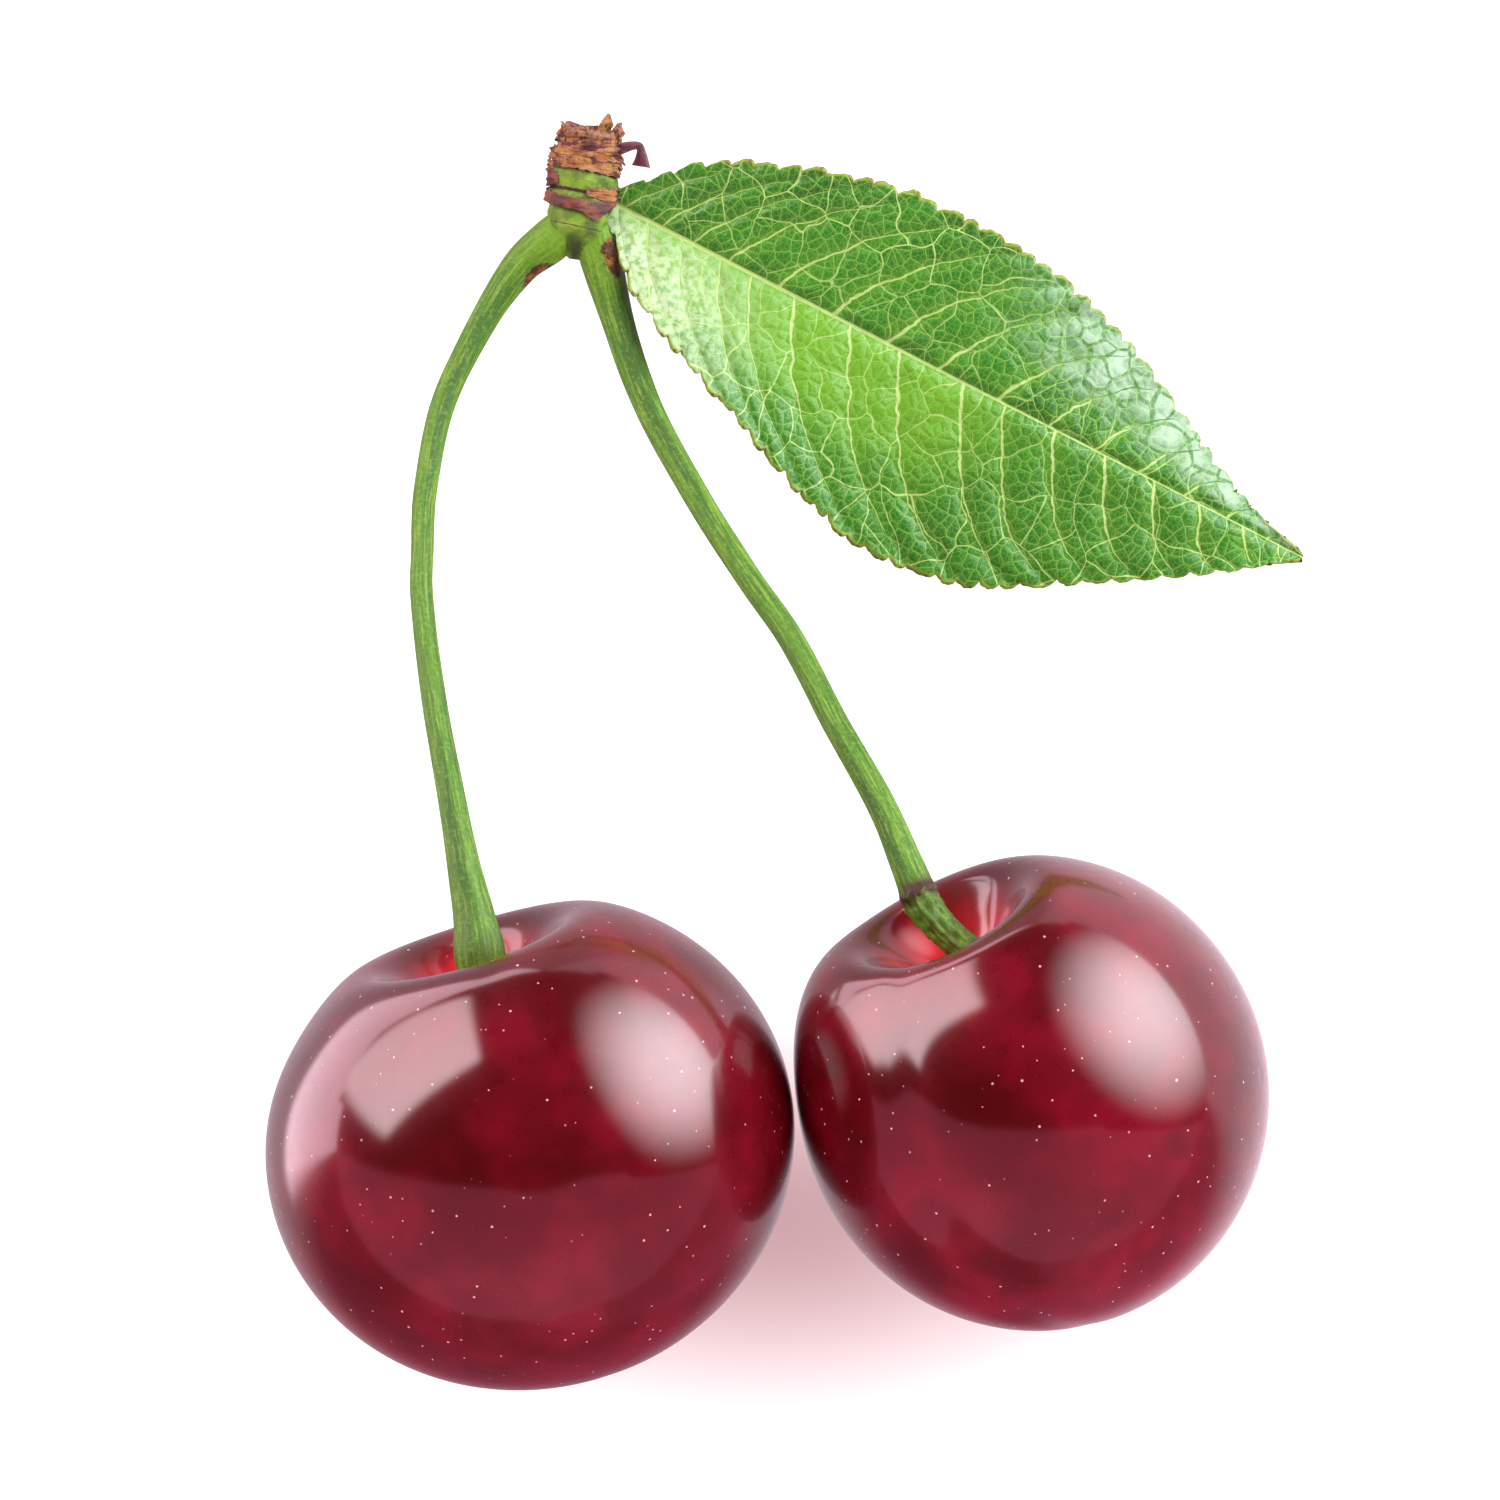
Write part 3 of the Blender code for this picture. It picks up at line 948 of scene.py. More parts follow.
@dataclass
class Spur:
    """The short woody shoot that both stalks and the leaf grow from.

    Its profile is pairs of place along it and radius. A scar is a place, a width and a depth.
    """

    node: str = "spur"
    lean_deg: float = 7.0
    length: float = 5.25
    foot: float = -1.5
    profile: Knots = (
        (-1.6, 0.2), (-1.4, 0.55), (-1.0, 0.9), (-0.5, 1.24), (0.0, 1.58), (0.25, 1.58),
        (0.6, 1.63), (0.95, 1.54), (1.2, 1.66), (1.55, 1.72), (1.75, 1.6), (2.2, 1.72),
        (2.6, 1.8), (3.0, 1.68), (3.2, 1.5), (3.6, 1.48), (4.4, 1.34), (5.0, 1.24),
        (5.25, 1.02),
    )  # fmt: skip
    scars: tuple[tuple[float, float, float], ...] = (
        (1.25, 0.18, 1.0), (1.85, 0.12, 0.9), (3.0, 0.16, 0.9), (0.1, 0.06, 0.7),
    )  # fmt: skip
    crust_from: float = 2.95
    sides: int = 96
    rings: int = 110

    def axes(self) -> tuple[Vector, Vector, Vector]:
        """Right, up and along directions of the spur.

        Returns:
            Three unit vectors.
        """
        lean = math.radians(self.lean_deg)
        right = Vector((math.cos(lean), -math.sin(lean), 0))
        return right, Vector((0, 0, 1)), Vector((math.sin(lean), math.cos(lean), 0))

    def base(self) -> Vector:
        """Where the spur's axis starts at the crotch, from the CAD node's box.

        Returns:
            The point, in millimetres.
        """
        low, high = (Vector(c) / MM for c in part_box(self.node))
        middle = (low + high) / 2
        return middle - self.axes()[2] * (self.length / 2 + 0.05)

    def build(self, bark: bpy.types.Material) -> bpy.types.Object:
        """Turns the profile and roughens it with swellings, scars and a torn top.

        Args:
            bark: its finish.

        Returns:
            The spur.
        """
        right, up, along = self.axes()
        base = self.base()
        mesh = spun_tube(self.rings, self.sides)
        run = mesh.verts.layers.float_vector.new("run")
        scar = mesh.verts.layers.float.new("scar")
        crust = mesh.verts.layers.float.new("crust")
        for v in mesh.verts:
            around = math.atan2(v.co.x, v.co.y)
            on_rim = min(1.0, math.hypot(v.co.x, v.co.y))
            at = self.foot + v.co.z * (self.length - self.foot)
            tilt = 0.16 * math.sin(around - 0.5)
            radius = between(self.profile, at + tilt)
            ring = max(depth * bell(at + tilt - place, width) for place, width, depth in self.scars)
            where = Vector((math.cos(around) * 1.6, math.sin(around) * 1.6, at))
            rough = ease(self.crust_from - 0.1, self.crust_from + 0.2, at)
            radius += (0.05 + 0.10 * rough) * noise.noise(where * 1.1)
            radius += 0.06 * noise.noise(where * 3.2) * (ring + rough)
            torn = 0.25 * noise.noise(where * 1.7 + Vector((5, 0, 0))) * ease(0.93, 1.0, v.co.z)
            out = right * math.sin(around) + up * math.cos(around)
            v.co = base + along * (at + torn) + out * (radius * on_rim)
            v.co.z = max(v.co.z, 0.03)
            v[run] = (math.cos(around) * 1.6, math.sin(around) * 1.6, at)
            v[scar] = ring
            v[crust] = rough
        bmesh.ops.recalc_face_normals(mesh, faces=mesh.faces)
        return finish_piece(mesh, self.node, "spur_bark", bark, self.node)


# ---------------------------------------------------------------- bud scales


class ScaleTone(Enum):
    """The two kinds of dry scale."""

    PAPERY = "dry_scale"
    MAROON = "maroon_scale"


@dataclass(frozen=True)
class ScaleSkin:
    """Dry papery scale, fibrous, from orange tan to wine brown with mauve edges."""

    tone: ScaleTone
    light: Colour
    middle: Colour
    dark: Colour
    edge: Colour

    def make(self, effects: Effects) -> bpy.types.Material:
        """Builds the material.

        Args:
            effects: the shared node groups.

        Returns:
            The finish.
        """
        material, board, skin = new_material(self.tone.value)
        where = board.place()
        sheet = board.attribute("sheet").outputs["Vector"]
        fine = board.group(effects.fibres, Vector=sheet, Across=1.0, Along=6.5).outputs[0]
        slits = board.group(effects.fibres, Vector=sheet, Across=0.8, Along=3.1).outputs[0]
        spots = board.group(effects.blotches, Vector=where, Size=0.75, Cover=0.35, Softness=0.1)
        colour = board.mix(board.span(fine, 0.4, 0.6), self.middle, self.light)
        colour = board.mix(board.times(spots.outputs[0], 0.6), colour, self.dark)
        colour = board.mix(board.times(board.span(slits, 0.53, 0.61), 0.95), colour, self.dark)
        rim = board.attribute("rim").outputs["Fac"]
        colour = board.mix(board.times(rim, 0.75), colour, self.edge)
        board.feed(skin.inputs["Base Color"], colour)
        board.feed(skin.inputs["Roughness"], board.span(fine, 0.3, 0.7, 0.5, 0.72))
        board.feed(skin.inputs["Normal"], board.bump(board.noise(where, 4.0, 4.0, 0.65), 0.1))
        return material


@dataclass
class WrappedScale:
    """A scale that wraps part of the spur: its angles, its lower and upper rim and its stand-off.

    An extra one is a scrap that stands for no CAD node.
    """

    node: str
    angles: tuple[float, float]
    low: tuple[float, ...]
    high: tuple[float, ...]
    radii: tuple[float, float]
    crumple: float = 0.19
    torn: float = 0.22
    thick: float = 0.07
    is_extra: bool = False
    columns: int = 110
    rows: int = 36

    def build(self, spur: Spur, skin: bpy.types.Material) -> bpy.types.Object:
        """Wraps a grid round the spur, crumples it and tears its upper rim.

        Args:
            spur: what it wraps.
            skin: its finish.

        Returns:
            The scale.
        """
        right, up, along = spur.axes()
        base = spur.base()
        spread = len(self.low) - 1
        low = tuple((k / spread, h) for k, h in enumerate(self.low))
        high = tuple((k / spread, h) for k, h in enumerate(self.high))
        start, end = (math.radians(a) for a in self.angles)
        mesh = bmesh.new()
        bmesh.ops.create_grid(mesh, x_segments=self.columns, y_segments=self.rows, size=1.0)
        sheet = mesh.verts.layers.float_vector.new("sheet")
        rim = mesh.verts.layers.float.new("rim")
        for v in mesh.verts:
            share, lift = (v.co.x + 1) / 2, (v.co.y + 1) / 2
            angle = start + (end - start) * share
            seed = Vector((share * (end - start) * 3.0, 7.3 * len(self.node), self.angles[0] * 0.1))
            jag = self.torn * (noise.noise(seed * 2.2) + 0.6 * noise.noise(seed * 6.1))
            floor_jag = 0.5 * self.torn * noise.noise(seed * 3.1 + Vector((0, 0, 9)))
            bottom = between(low, share) + floor_jag
            top = between(high, share) + jag
            height = bottom + (top - bottom) * lift
            radius = self.radii[0] * (1 - lift) + self.radii[1] * lift
            fold = Vector((angle * 1.3, height * 3.6, self.angles[1] * 0.07))
            radius += self.crumple * noise.noise(fold) + 0.6 * self.crumple * noise.noise(fold * 2.3)
            out = right * math.sin(angle) + up * math.cos(angle)
            v.co = base + along * height + out * radius
            v[sheet] = (angle * 1.7, height, 0)
            v[rim] = ease(0.8, 1.0, lift)
            if self.torn > 0.1:
                v[rim] += ease(0.12, 0.0, lift)
        return self._thicken(mesh, skin)

    def _thicken(self, mesh: bmesh.types.BMesh, skin: bpy.types.Material) -> bpy.types.Object:
        """Gives the scale its paper thickness.

        Args:
            mesh: the shaped sheet.
            skin: its finish.

        Returns:
            The scale.
        """
        nodes = () if self.is_extra else (self.node,)
        piece = finish_piece(mesh, self.node, ScaleTone.PAPERY.value, skin, *nodes)
        thicken(piece, self.thick)
        return piece


def thicken(piece: bpy.types.Object, thick: float, offset: float = 0.0) -> None:
    """Gives a sheet its thickness in millimetres, as a live modifier.

    Args:
        piece: the sheet.
        thick: its thickness, in millimetres.
        offset: -1 for all of it below the sheet, 0 for half on each side.
    """
    solid = piece.modifiers.new("thickness", "SOLIDIFY")
    solid.thickness = thick * MM
    solid.offset = offset


@dataclass
class CurledScale:
    """A strip that leaves the spur to the right, turns over and hangs down."""

    node: str = "bud_scale_curled"
    stations: tuple[tuple[tuple[float, float], tuple[float, float], float], ...] = (
        ((-8.9, 29.75), (-8.95, 30.3), 2.9),
        ((-8.2, 30.05), (-8.2, 30.6), 3.1),
        ((-7.6, 30.25), (-7.4, 30.57), 3.2),
        ((-7.63, 29.85), (-7.13, 30.1), 3.05),
        ((-7.83, 29.45), (-6.9, 29.3), 2.8),
    )
    thick: float = 0.07
    rows: int = 60
    columns: int = 24

    def build(self, skin: bpy.types.Material) -> bpy.types.Object:
        """Lays a grid along the strip and cups it.

        Args:
            skin: its finish.

        Returns:
            The scale.
        """
        left = through(tuple((*a, z) for a, b, z in self.stations), 15)
        right = through(tuple((*b, z) for a, b, z in self.stations), 15)
        mesh = bmesh.new()
        bmesh.ops.create_grid(mesh, x_segments=self.columns, y_segments=self.rows, size=1.0)
        sheet = mesh.verts.layers.float_vector.new("sheet")
        rim = mesh.verts.layers.float.new("rim")
        for v in mesh.verts:
            share, run = (v.co.x + 1) / 2, (v.co.y + 1) / 2
            i = round(run * (len(left) - 1))
            cup = 0.16 * math.sin(math.pi * share) * (0.4 + run)
            spot = left[i].lerp(right[i], share)
            crumple = 0.05 * noise.noise(spot * 2.3)
            v.co = spot + Vector((0, 0, cup + crumple))
            v[sheet] = (share, run * 2.5, 0)
            v[rim] = ease(0.25, 0.0, share) + ease(0.75, 1.0, share)
        piece = finish_piece(mesh, self.node, ScaleTone.MAROON.value, skin, self.node)
        thicken(piece, self.thick)
        return piece


# ---------------------------------------------------------------- leaf


@dataclass(frozen=True)
class LeafSkin:
    """A fresh blade: pale veins over cells of green, glossy on top, rusty tooth tips, with painted
    shade on the upper half, painted light on the lower half and painted sheen near base and tip.
    """

    name: str = "leaf_blade"
    deep: Colour = (0.005, 0.080, 0.010)
    fresh: Colour = (0.027, 0.205, 0.012)
    lime: Colour = (0.15, 0.38, 0.014)
    vein: Colour = (0.52, 0.68, 0.20)
    fine_vein: Colour = (0.27, 0.48, 0.09)
    painted_tip_sheen: Colour = (0.46, 0.60, 0.42)
    painted_base_sheen: Colour = (0.58, 0.72, 0.40)
    edge: Colour = (0.32, 0.38, 0.04)
    rust: Colour = (0.22, 0.05, 0.008)
    shine_through: Colour = (0.07, 0.27, 0.02)
    rung_cell: float = 2.3
    mesh_cell: float = 0.62
    tiny_cell: float = 0.27
    quilt_cell: float = 1.25
    ior: float = 1.45
    shine_through_share: float = 0.22
    relief_height: float = 0.07

    def make(self, effects: Effects) -> bpy.types.Material:
        """Builds the material.

        Args:
            effects: the shared node groups.

        Returns:
            The finish.
        """
        material, board, skin = new_material(self.name)
        along, across, share = board.parts(board.attribute("lamina").outputs["Vector"])
        phase_upper, phase_lower, gap = board.parts(board.attribute("phases").outputs["Vector"])
        upper = board.math("GREATER_THAN", across, 0.0)
        phase = board.plus(
            board.times(phase_upper, upper),
            board.times(phase_lower, board.minus(1.0, upper)),
        )
        away = board.math("ABSOLUTE", across)
        reach = board.math("ABSOLUTE", share)
        # side veins lie where the phase is a whole number
        jitter = board.minus(board.noise(board.join(along, across, 0.0), 0.8, 3.0, 0.6), 0.5)
        phase = board.plus(phase, board.times(jitter, 0.22))
        nearest = board.math("ABSOLUTE", board.minus(phase, board.math("ROUND", phase)))
        to_vein = board.times(board.times(nearest, gap), 0.86)
        width = board.span(reach, 0.1, 0.92, 0.085, 0.04)
        side_vein = board.span(to_vein, board.times(width, 0.45), width, 1.0, 0.0)
        side_vein = board.times(side_vein, board.span(reach, 0.8, 0.94, 1.0, 0.0))
        rib_half = board.span(along, 0.0, 38.0, 0.15, 0.05)
        rib = board.span(away, board.times(rib_half, 0.6), rib_half, 1.0, 0.0)
        # cross veins and the fine net
        spot = board.join(along, across, 0.0)
        waver = board.minus(board.noise(board.join(along, across, 5.0), 0.45, 1.0), 0.5)
        drift = board.minus(board.noise(board.join(along, across, 9.0), 0.45, 1.0), 0.5)
        bent = board.join(
            board.plus(along, board.times(drift, 1.6)),
            board.plus(across, board.times(waver, 1.6)),
            0.0,
        )
        rungs = board.group(effects.net, Vector=bent, Cell=self.rung_cell, Width=0.085)
        meshes = board.group(effects.net, Vector=spot, Cell=self.mesh_cell, Width=0.06)
        strong = board.greater(rib, side_vein)
        halo = board.times(board.span(to_vein, 0.75, 0.0), board.span(reach, 0.95, 0.6))
        rung_line = board.times(rungs.outputs["Line"], board.span(reach, 0.2, 0.75, 0.6, 0.95))
        # blade colour: over random patches, painted shade darkens the upper half and painted light
        # makes the heart of the lower half lime
        patch = board.noise(board.join(along, across, 3.0), 0.16, 3.0, 0.55)
        lower = board.minus(1.0, upper)
        painted_light_heart = board.times(board.span(reach, 0.95, 0.2), board.span(along, 33.0, 10.0))
        lime_patches_and_lower_light = board.times(board.times(painted_light_heart, lower), 0.9)
        lime_patches_and_lower_light = board.plus(lime_patches_and_lower_light, board.times(board.minus(patch, 0.5), 0.9))
        depth = board.span(patch, 0.62, 0.35, 0.15, 0.8)
        patches_and_upper_shade = board.times(depth, board.plus(0.45, board.times(upper, 0.45)))
        blade = board.mix(patches_and_upper_shade, self.fresh, self.deep)
        blade = board.mix(board.span(lime_patches_and_lower_light, 0.1, 0.85), blade, self.lime)
        blade = board.mix(board.times(halo, 0.3), blade, self.lime)
        cushion = board.times(meshes.outputs["Cushion"], 0.15)
        blade = board.mix(board.minus(0.2, cushion), blade, self.lime)
        blade = board.mix(board.times(meshes.outputs["Line"], 0.8), blade, self.fine_vein)
        tiny = board.group(effects.net, Vector=spot, Cell=self.tiny_cell, Width=0.05)
        blade = board.mix(board.times(tiny.outputs["Line"], 0.4), blade, self.fine_vein)
        specks = board.group(effects.dots, Vector=spot, Cell=0.42, Radius=0.05, Share=0.4).outputs[0]
        blade = board.mix(board.times(specks, 0.5), blade, self.vein)
        # painted sheen: a pale glint near the base of the lower half, broken into small glints
        painted_base_sheen = board.times(lower, board.span(along, 12.0, 3.5))
        painted_base_sheen = board.times(painted_base_sheen, board.span(reach, 0.0, 0.6, 0.45, 0.95))
        # painted sheen on the upper half towards the tip, where the veins stay fresh green
        tip_sheen_area = board.times(upper, board.span(reach, 0.25, 0.6))
        tip_sheen_area = board.times(tip_sheen_area, board.span(along, 18.0, 28.0))
        tip_sheen_area = board.times(tip_sheen_area, board.span(along, 36.5, 40.0, 1.0, 0.4))
        line_tint = board.mix(tip_sheen_area, self.vein, self.fresh)
        cloud = board.span(board.noise(spot, 0.55, 4.0, 0.65), 0.36, 0.6, 0.3, 1.0)
        sheen_glints = board.span(board.noise(spot, 2.4, 2.0, 0.6), 0.36, 0.6, 0.35, 1.0)
        blade = board.mix(board.times(painted_base_sheen, sheen_glints), blade, self.painted_base_sheen)
        blade = board.mix(rung_line, blade, line_tint)
        blade = board.mix(board.times(strong, 0.95), blade, line_tint)
        # the painted tip sheen whitens the cells and leaves the veins green
        painted_tip_sheen = board.times(tip_sheen_area, cloud)
        quilt = board.group(effects.net, Vector=bent, Cell=self.quilt_cell, Width=0.26).outputs["Line"]
        in_cells = board.minus(1.0, board.greater(strong, quilt))
        painted_tip_sheen = board.times(painted_tip_sheen, board.span(in_cells, 0.0, 1.0, 0.12, 0.8))
        blade = board.mix(painted_tip_sheen, blade, self.painted_tip_sheen)
        tooth = board.attribute("tooth").outputs["Fac"]
        edge_tint = board.times(board.span(reach, 0.968, 0.99), 0.8)
        blade = board.mix(edge_tint, blade, self.edge)
        blade = board.mix(board.times(board.span(tooth, 0.5, 0.9), 0.8), blade, self.rust)
        board.feed(skin.inputs["Base Color"], blade)
        waxy = board.noise(spot, 2.2, 2.0)
        board.feed(skin.inputs["Roughness"], board.span(waxy, 0.3, 0.7, 0.3, 0.44))
        skin.inputs["IOR"].default_value = self.ior
        relief = board.plus(rungs.outputs["Cushion"], board.times(meshes.outputs["Cushion"], 0.35))
        relief = board.plus(relief, board.times(board.noise(spot, 6.0, 2.0), 0.25))
        relief = board.minus(relief, board.times(strong, 0.6))
        board.feed(skin.inputs["Normal"], board.bump(relief, self.relief_height))
        glow = board.node("ShaderNodeBsdfTranslucent")
        board.feed(glow.inputs["Color"], self.shine_through)
        both = board.node("ShaderNodeMixShader")
        both.inputs[0].default_value = self.shine_through_share
        board.tree.links.new(skin.outputs[0], both.inputs[1])
        board.tree.links.new(glow.outputs[0], both.inputs[2])
        board.tree.links.new(both.outputs[0], board.tree.nodes["Material Output"].inputs["Surface"])
        return material


@dataclass
class Leaf:
    """The leaf: a quilted, toothed blade folded lightly along its midrib.

    The halves, slopes and rib height run by share of its length. The origins are where side veins
    leave the midrib, in millimetres from the base.
    """

    node: str = "leaf"
    base: tuple[float, float] = (-8.95, 27.65)
    tip: tuple[float, float] = (26.05, 9.68)
    thick: float = 0.22
    lowest: float = 0.27
    rib_height: Knots = (
        (0.0, 2.6), (0.12, 2.9), (0.3, 2.9), (0.5, 2.6), (0.7, 2.3), (0.85, 1.7), (1.0, 0.35),
    )  # fmt: skip
    upper_half: Knots = (
        (0.0, 0.5), (0.03, 1.75), (0.08, 3.7), (0.15, 5.1), (0.23, 6.3), (0.36, 7.35), (0.45, 7.4),
        (0.55, 7.05), (0.67, 5.7), (0.77, 3.85), (0.87, 1.8), (0.94, 0.7), (1.0, 0.05),
    )  # fmt: skip
    lower_half: Knots = (
        (0.0, 0.5), (0.03, 1.7), (0.09, 3.7), (0.18, 5.4), (0.27, 6.8), (0.38, 8.6), (0.5, 9.8),
        (0.6, 9.4), (0.77, 6.1), (0.92, 2.4), (1.0, 0.05),
    )  # fmt: skip
    upper_slope: Knots = ((0.0, 0.1), (0.2, 0.14), (0.5, 0.05), (0.68, -0.3), (0.85, -0.5), (1.0, -0.2))
    lower_slope: Knots = ((0.0, 0.35), (0.12, 0.42), (0.3, 0.2), (0.5, 0.0), (0.8, -0.08), (1.0, 0.0))
    upper_origins: tuple[float, ...] = (
        -1.2, 0.8, 2.9, 4.7, 6.7, 9.5, 12.6, 15.7, 18.6, 22.0, 24.9, 27.5, 30.0, 32.6, 35.0, 37.3,
    )  # fmt: skip
    lower_origins: tuple[float, ...] = (
        -1.6, 0.5, 2.2, 4.1, 6.3, 8.0, 10.5, 13.7, 16.5, 20.1, 22.4, 25.3, 28.2, 30.9, 33.5, 36.0, 38.0,
    )  # fmt: skip
    upper_sweep: tuple[float, float, float] = (0.42, 0.5, 0.12)
    lower_sweep: tuple[float, float, float] = (0.42, 0.06, 0.42)
    vein_gap: float = 2.5
    tooth_pitch: float = 1.15
    tooth_depth: float = 0.46
    steps_along: int = 400
    steps_across: int = 112
    teeth_seed: tuple[float, float, float] = (3.7, 0.0, 0.0)

    def build(self, skin: bpy.types.Material) -> bpy.types.Object:
        """Shapes a fine grid into the blade and gives it its thickness.

        Args:
            skin: its finish.

        Returns:
            The leaf.
        """
        base, tip = Vector((*self.base, 0)), Vector((*self.tip, 0))
        run = tip - base
        length = run.length
        side = Vector((-run.y, run.x, 0)).normalized()
        forward = run.normalized()
        mesh = bmesh.new()
        bmesh.ops.create_grid(mesh, x_segments=self.steps_along, y_segments=self.steps_across, size=1.0)
        lamina = mesh.verts.layers.float_vector.new("lamina")
        phases = mesh.verts.layers.float_vector.new("phases")
        tooth_layer = mesh.verts.layers.float.new("tooth")
        origins = (self.upper_origins, self.lower_origins)
        knots = [tuple((start, float(k)) for k, start in enumerate(row)) for row in origins]
        curves: dict[int, tuple[float, ...]] = {}
        for v in mesh.verts:
            at, share = (v.co.x + 1) / 2, v.co.y
            column = round(at * self.steps_along)
            if column not in curves:
                curves[column] = (
                    between(self.upper_half, at),
                    between(self.lower_half, at),
                    between(self.rib_height, at),
                    between(self.upper_slope, at),
                    between(self.lower_slope, at),
                )
            upper_half, lower_half, rib_z, upper_slope, lower_slope = curves[column]
            half, slope = (upper_half, upper_slope) if share > 0 else (lower_half, lower_slope)
            gone = at * length
            out = abs(share) * half
            tooth, tip_mark = self._tooth(gone, share)
            room = min(1.0, half / 1.5)
            out += tooth * room * ease(0.86, 1.0, abs(share))
            wobble = 0.35 * noise.noise(Vector((gone * 0.45, out * 0.8, 2.0 if share > 0 else 8.0)))
            phase_u = self._phase(knots[0], self.upper_sweep, gone, abs(share), upper_half, wobble)
            phase_l = self._phase(knots[1], self.lower_sweep, gone, abs(share), lower_half, wobble)
            phase = phase_u if share > 0 else phase_l
            to_vein = min(abs(phase - round(phase)) * self.vein_gap, out)
            puff = 0.12 * (1 - bell(to_vein, 0.5)) * min(1.0, half / 3)
            puff -= 0.16 * bell(out, 0.3)
            wave = 0.22 * noise.noise(Vector((gone * 0.22, share * 1.3, 0.5))) * share * share
            fold = slope * out * (0.7 + 0.3 * out / max(half, 0.3))
            z = max(self.lowest + 0.02 * abs(share), rib_z + fold + puff + wave)
            v.co = base + forward * gone + side * math.copysign(out, share) + Vector((0, 0, z))
            v[lamina] = (gone, math.copysign(out, share), share)
            v[phases] = (phase_u, phase_l, self.vein_gap)
            v[tooth_layer] = tip_mark * ease(0.95, 1.0, abs(share))
        piece = finish_piece(mesh, self.node, "leaf_blade", skin, self.node)
        thicken(piece, self.thick, -1.0)
        return piece

    def _tooth(self, gone: float, share: float) -> tuple[float, float]:
        """How far a tooth stands out at that length along the blade, and how near its tip is.

        Args:
            gone: length along the midrib, in millimetres.
            share: share of the half width, negative on the lower side.

        Returns:
            How far it stands out in millimetres, and a mark that is 1 at its tip.
        """
        lane = Vector(self.teeth_seed) * (1 if share > 0 else 2)
        beat = gone / self.tooth_pitch + 0.55 * noise.noise(lane + Vector((0, gone * 0.5, 0)))
        place = beat % 1.0
        skewed = place**1.5
        size = 0.75 + 0.5 * noise.noise(lane + Vector((0, 0, math.floor(beat) * 0.77)))
        notch = abs(math.sin(math.pi * skewed)) ** 0.55
        small = abs(math.sin(math.pi * ((beat * 3) % 1.0))) * 0.16
        return self.tooth_depth * size * (notch + small - 0.75), bell(place - 0.74, 0.1)

    def _phase(
        self,
        knots: Knots,
        sweep: tuple[float, float, float],
        gone: float,
        share: float,
        half: float,
        wobble: float,
    ) -> float:
        """Which side vein a place is on: a whole number on a vein, with fractions between two.

        Args:
            knots: where the veins leave the midrib, with their numbers.
            sweep: how far forward a vein leans, by the first, second and fourth power of share.
            gone: length along the midrib, in millimetres.
            share: share of the half width.
            half: the half width there, in millimetres.
            wobble: how far the veins stray, in millimetres.

        Returns:
            The vein's number.
        """
        first, second, last = sweep
        forward = half * (first * share + second * share**2 + last * share**4)
        at = gone - forward + wobble * share
        below = max(k for k in range(len(knots) - 1) if knots[k][0] <= max(at, knots[0][0]))
        (a, low), (b, high) = knots[below], knots[below + 1]
        return low + (high - low) * (at - a) / (b - a)


# ---------------------------------------------------------------- studio


@dataclass(frozen=True)
class SoftCard:
    """A glowing card: where it stands from the fruit, its size, its face's brightness and its edge."""

    name: str
    place: tuple[float, float, float]
    size: tuple[float, float]
    radiance: float
    soft: float = 0.06
    is_round: bool = False
    foot_share: float = 1.0
    roll_deg: float = 0.0
    in_reflections: bool = True
    colour: Colour = (1.0, 1.0, 1.0)

    def build(self, target: Vector) -> None:
        """Stands the card so that it faces the target.

        Args:
            target: what it lights, in metres.
        """
        mesh = bmesh.new()
        bmesh.ops.create_grid(mesh, x_segments=1, y_segments=1, size=1.0)
        bmesh.ops.scale(mesh, verts=mesh.verts, vec=(self.size[0] / 2, self.size[1] / 2, 1.0))
        data = bpy.data.meshes.new(self.name)
        mesh.to_mesh(data)
        mesh.free()
        data.materials.append(self._glow())
        card = bpy.data.objects.new(self.name, data)
        bpy.context.scene.collection.objects.link(card)
        card.location = target + Vector(self.place)
        facing = (-Vector(self.place)).to_track_quat("Z", "Y").to_matrix()
        card.rotation_euler = (facing @ Matrix.Rotation(math.radians(self.roll_deg), 3, "Z")).to_euler()
        card.visible_camera = False
        card.visible_glossy = self.in_reflections

    def _glow(self) -> bpy.types.Material:
        """Light that fades towards the card's edge and comes from its front only.

        Returns:
            The glowing material.
        """
        material, board, skin = new_material(self.name)
        x, y, _ = board.parts(board.node("ShaderNodeTexCoord").outputs["Object"])
        x = board.math("ABSOLUTE", board.over(x, self.size[0] / 2))
        foot = board.over(y, self.size[1] / 2)
        y = board.math("ABSOLUTE", foot)
        if self.is_round:
            out = board.math("SQRT", board.plus(board.times(x, x), board.times(y, y)))
            mask = board.span(out, 1 - self.soft, 1.0, 1.0, 0.0)
        else:
            mask = board.times(
                board.span(x, 1 - self.soft, 1.0, 1.0, 0.0), board.span(y, 1 - self.soft, 1.0, 1.0, 0.0)
            )
        mask = board.times(mask, board.span(foot, -1.0, 1.0, self.foot_share, 1.0))
        front = board.minus(1.0, board.node("ShaderNodeNewGeometry").outputs["Backfacing"])
        glow = board.node("ShaderNodeEmission")
        board.feed(glow.inputs["Color"], self.colour)
        board.feed(glow.inputs["Strength"], board.times(board.times(mask, front), self.radiance))
        board.tree.links.new(glow.outputs[0], board.tree.nodes["Material Output"].inputs["Surface"])
        board.tree.nodes.remove(skin)
        return material


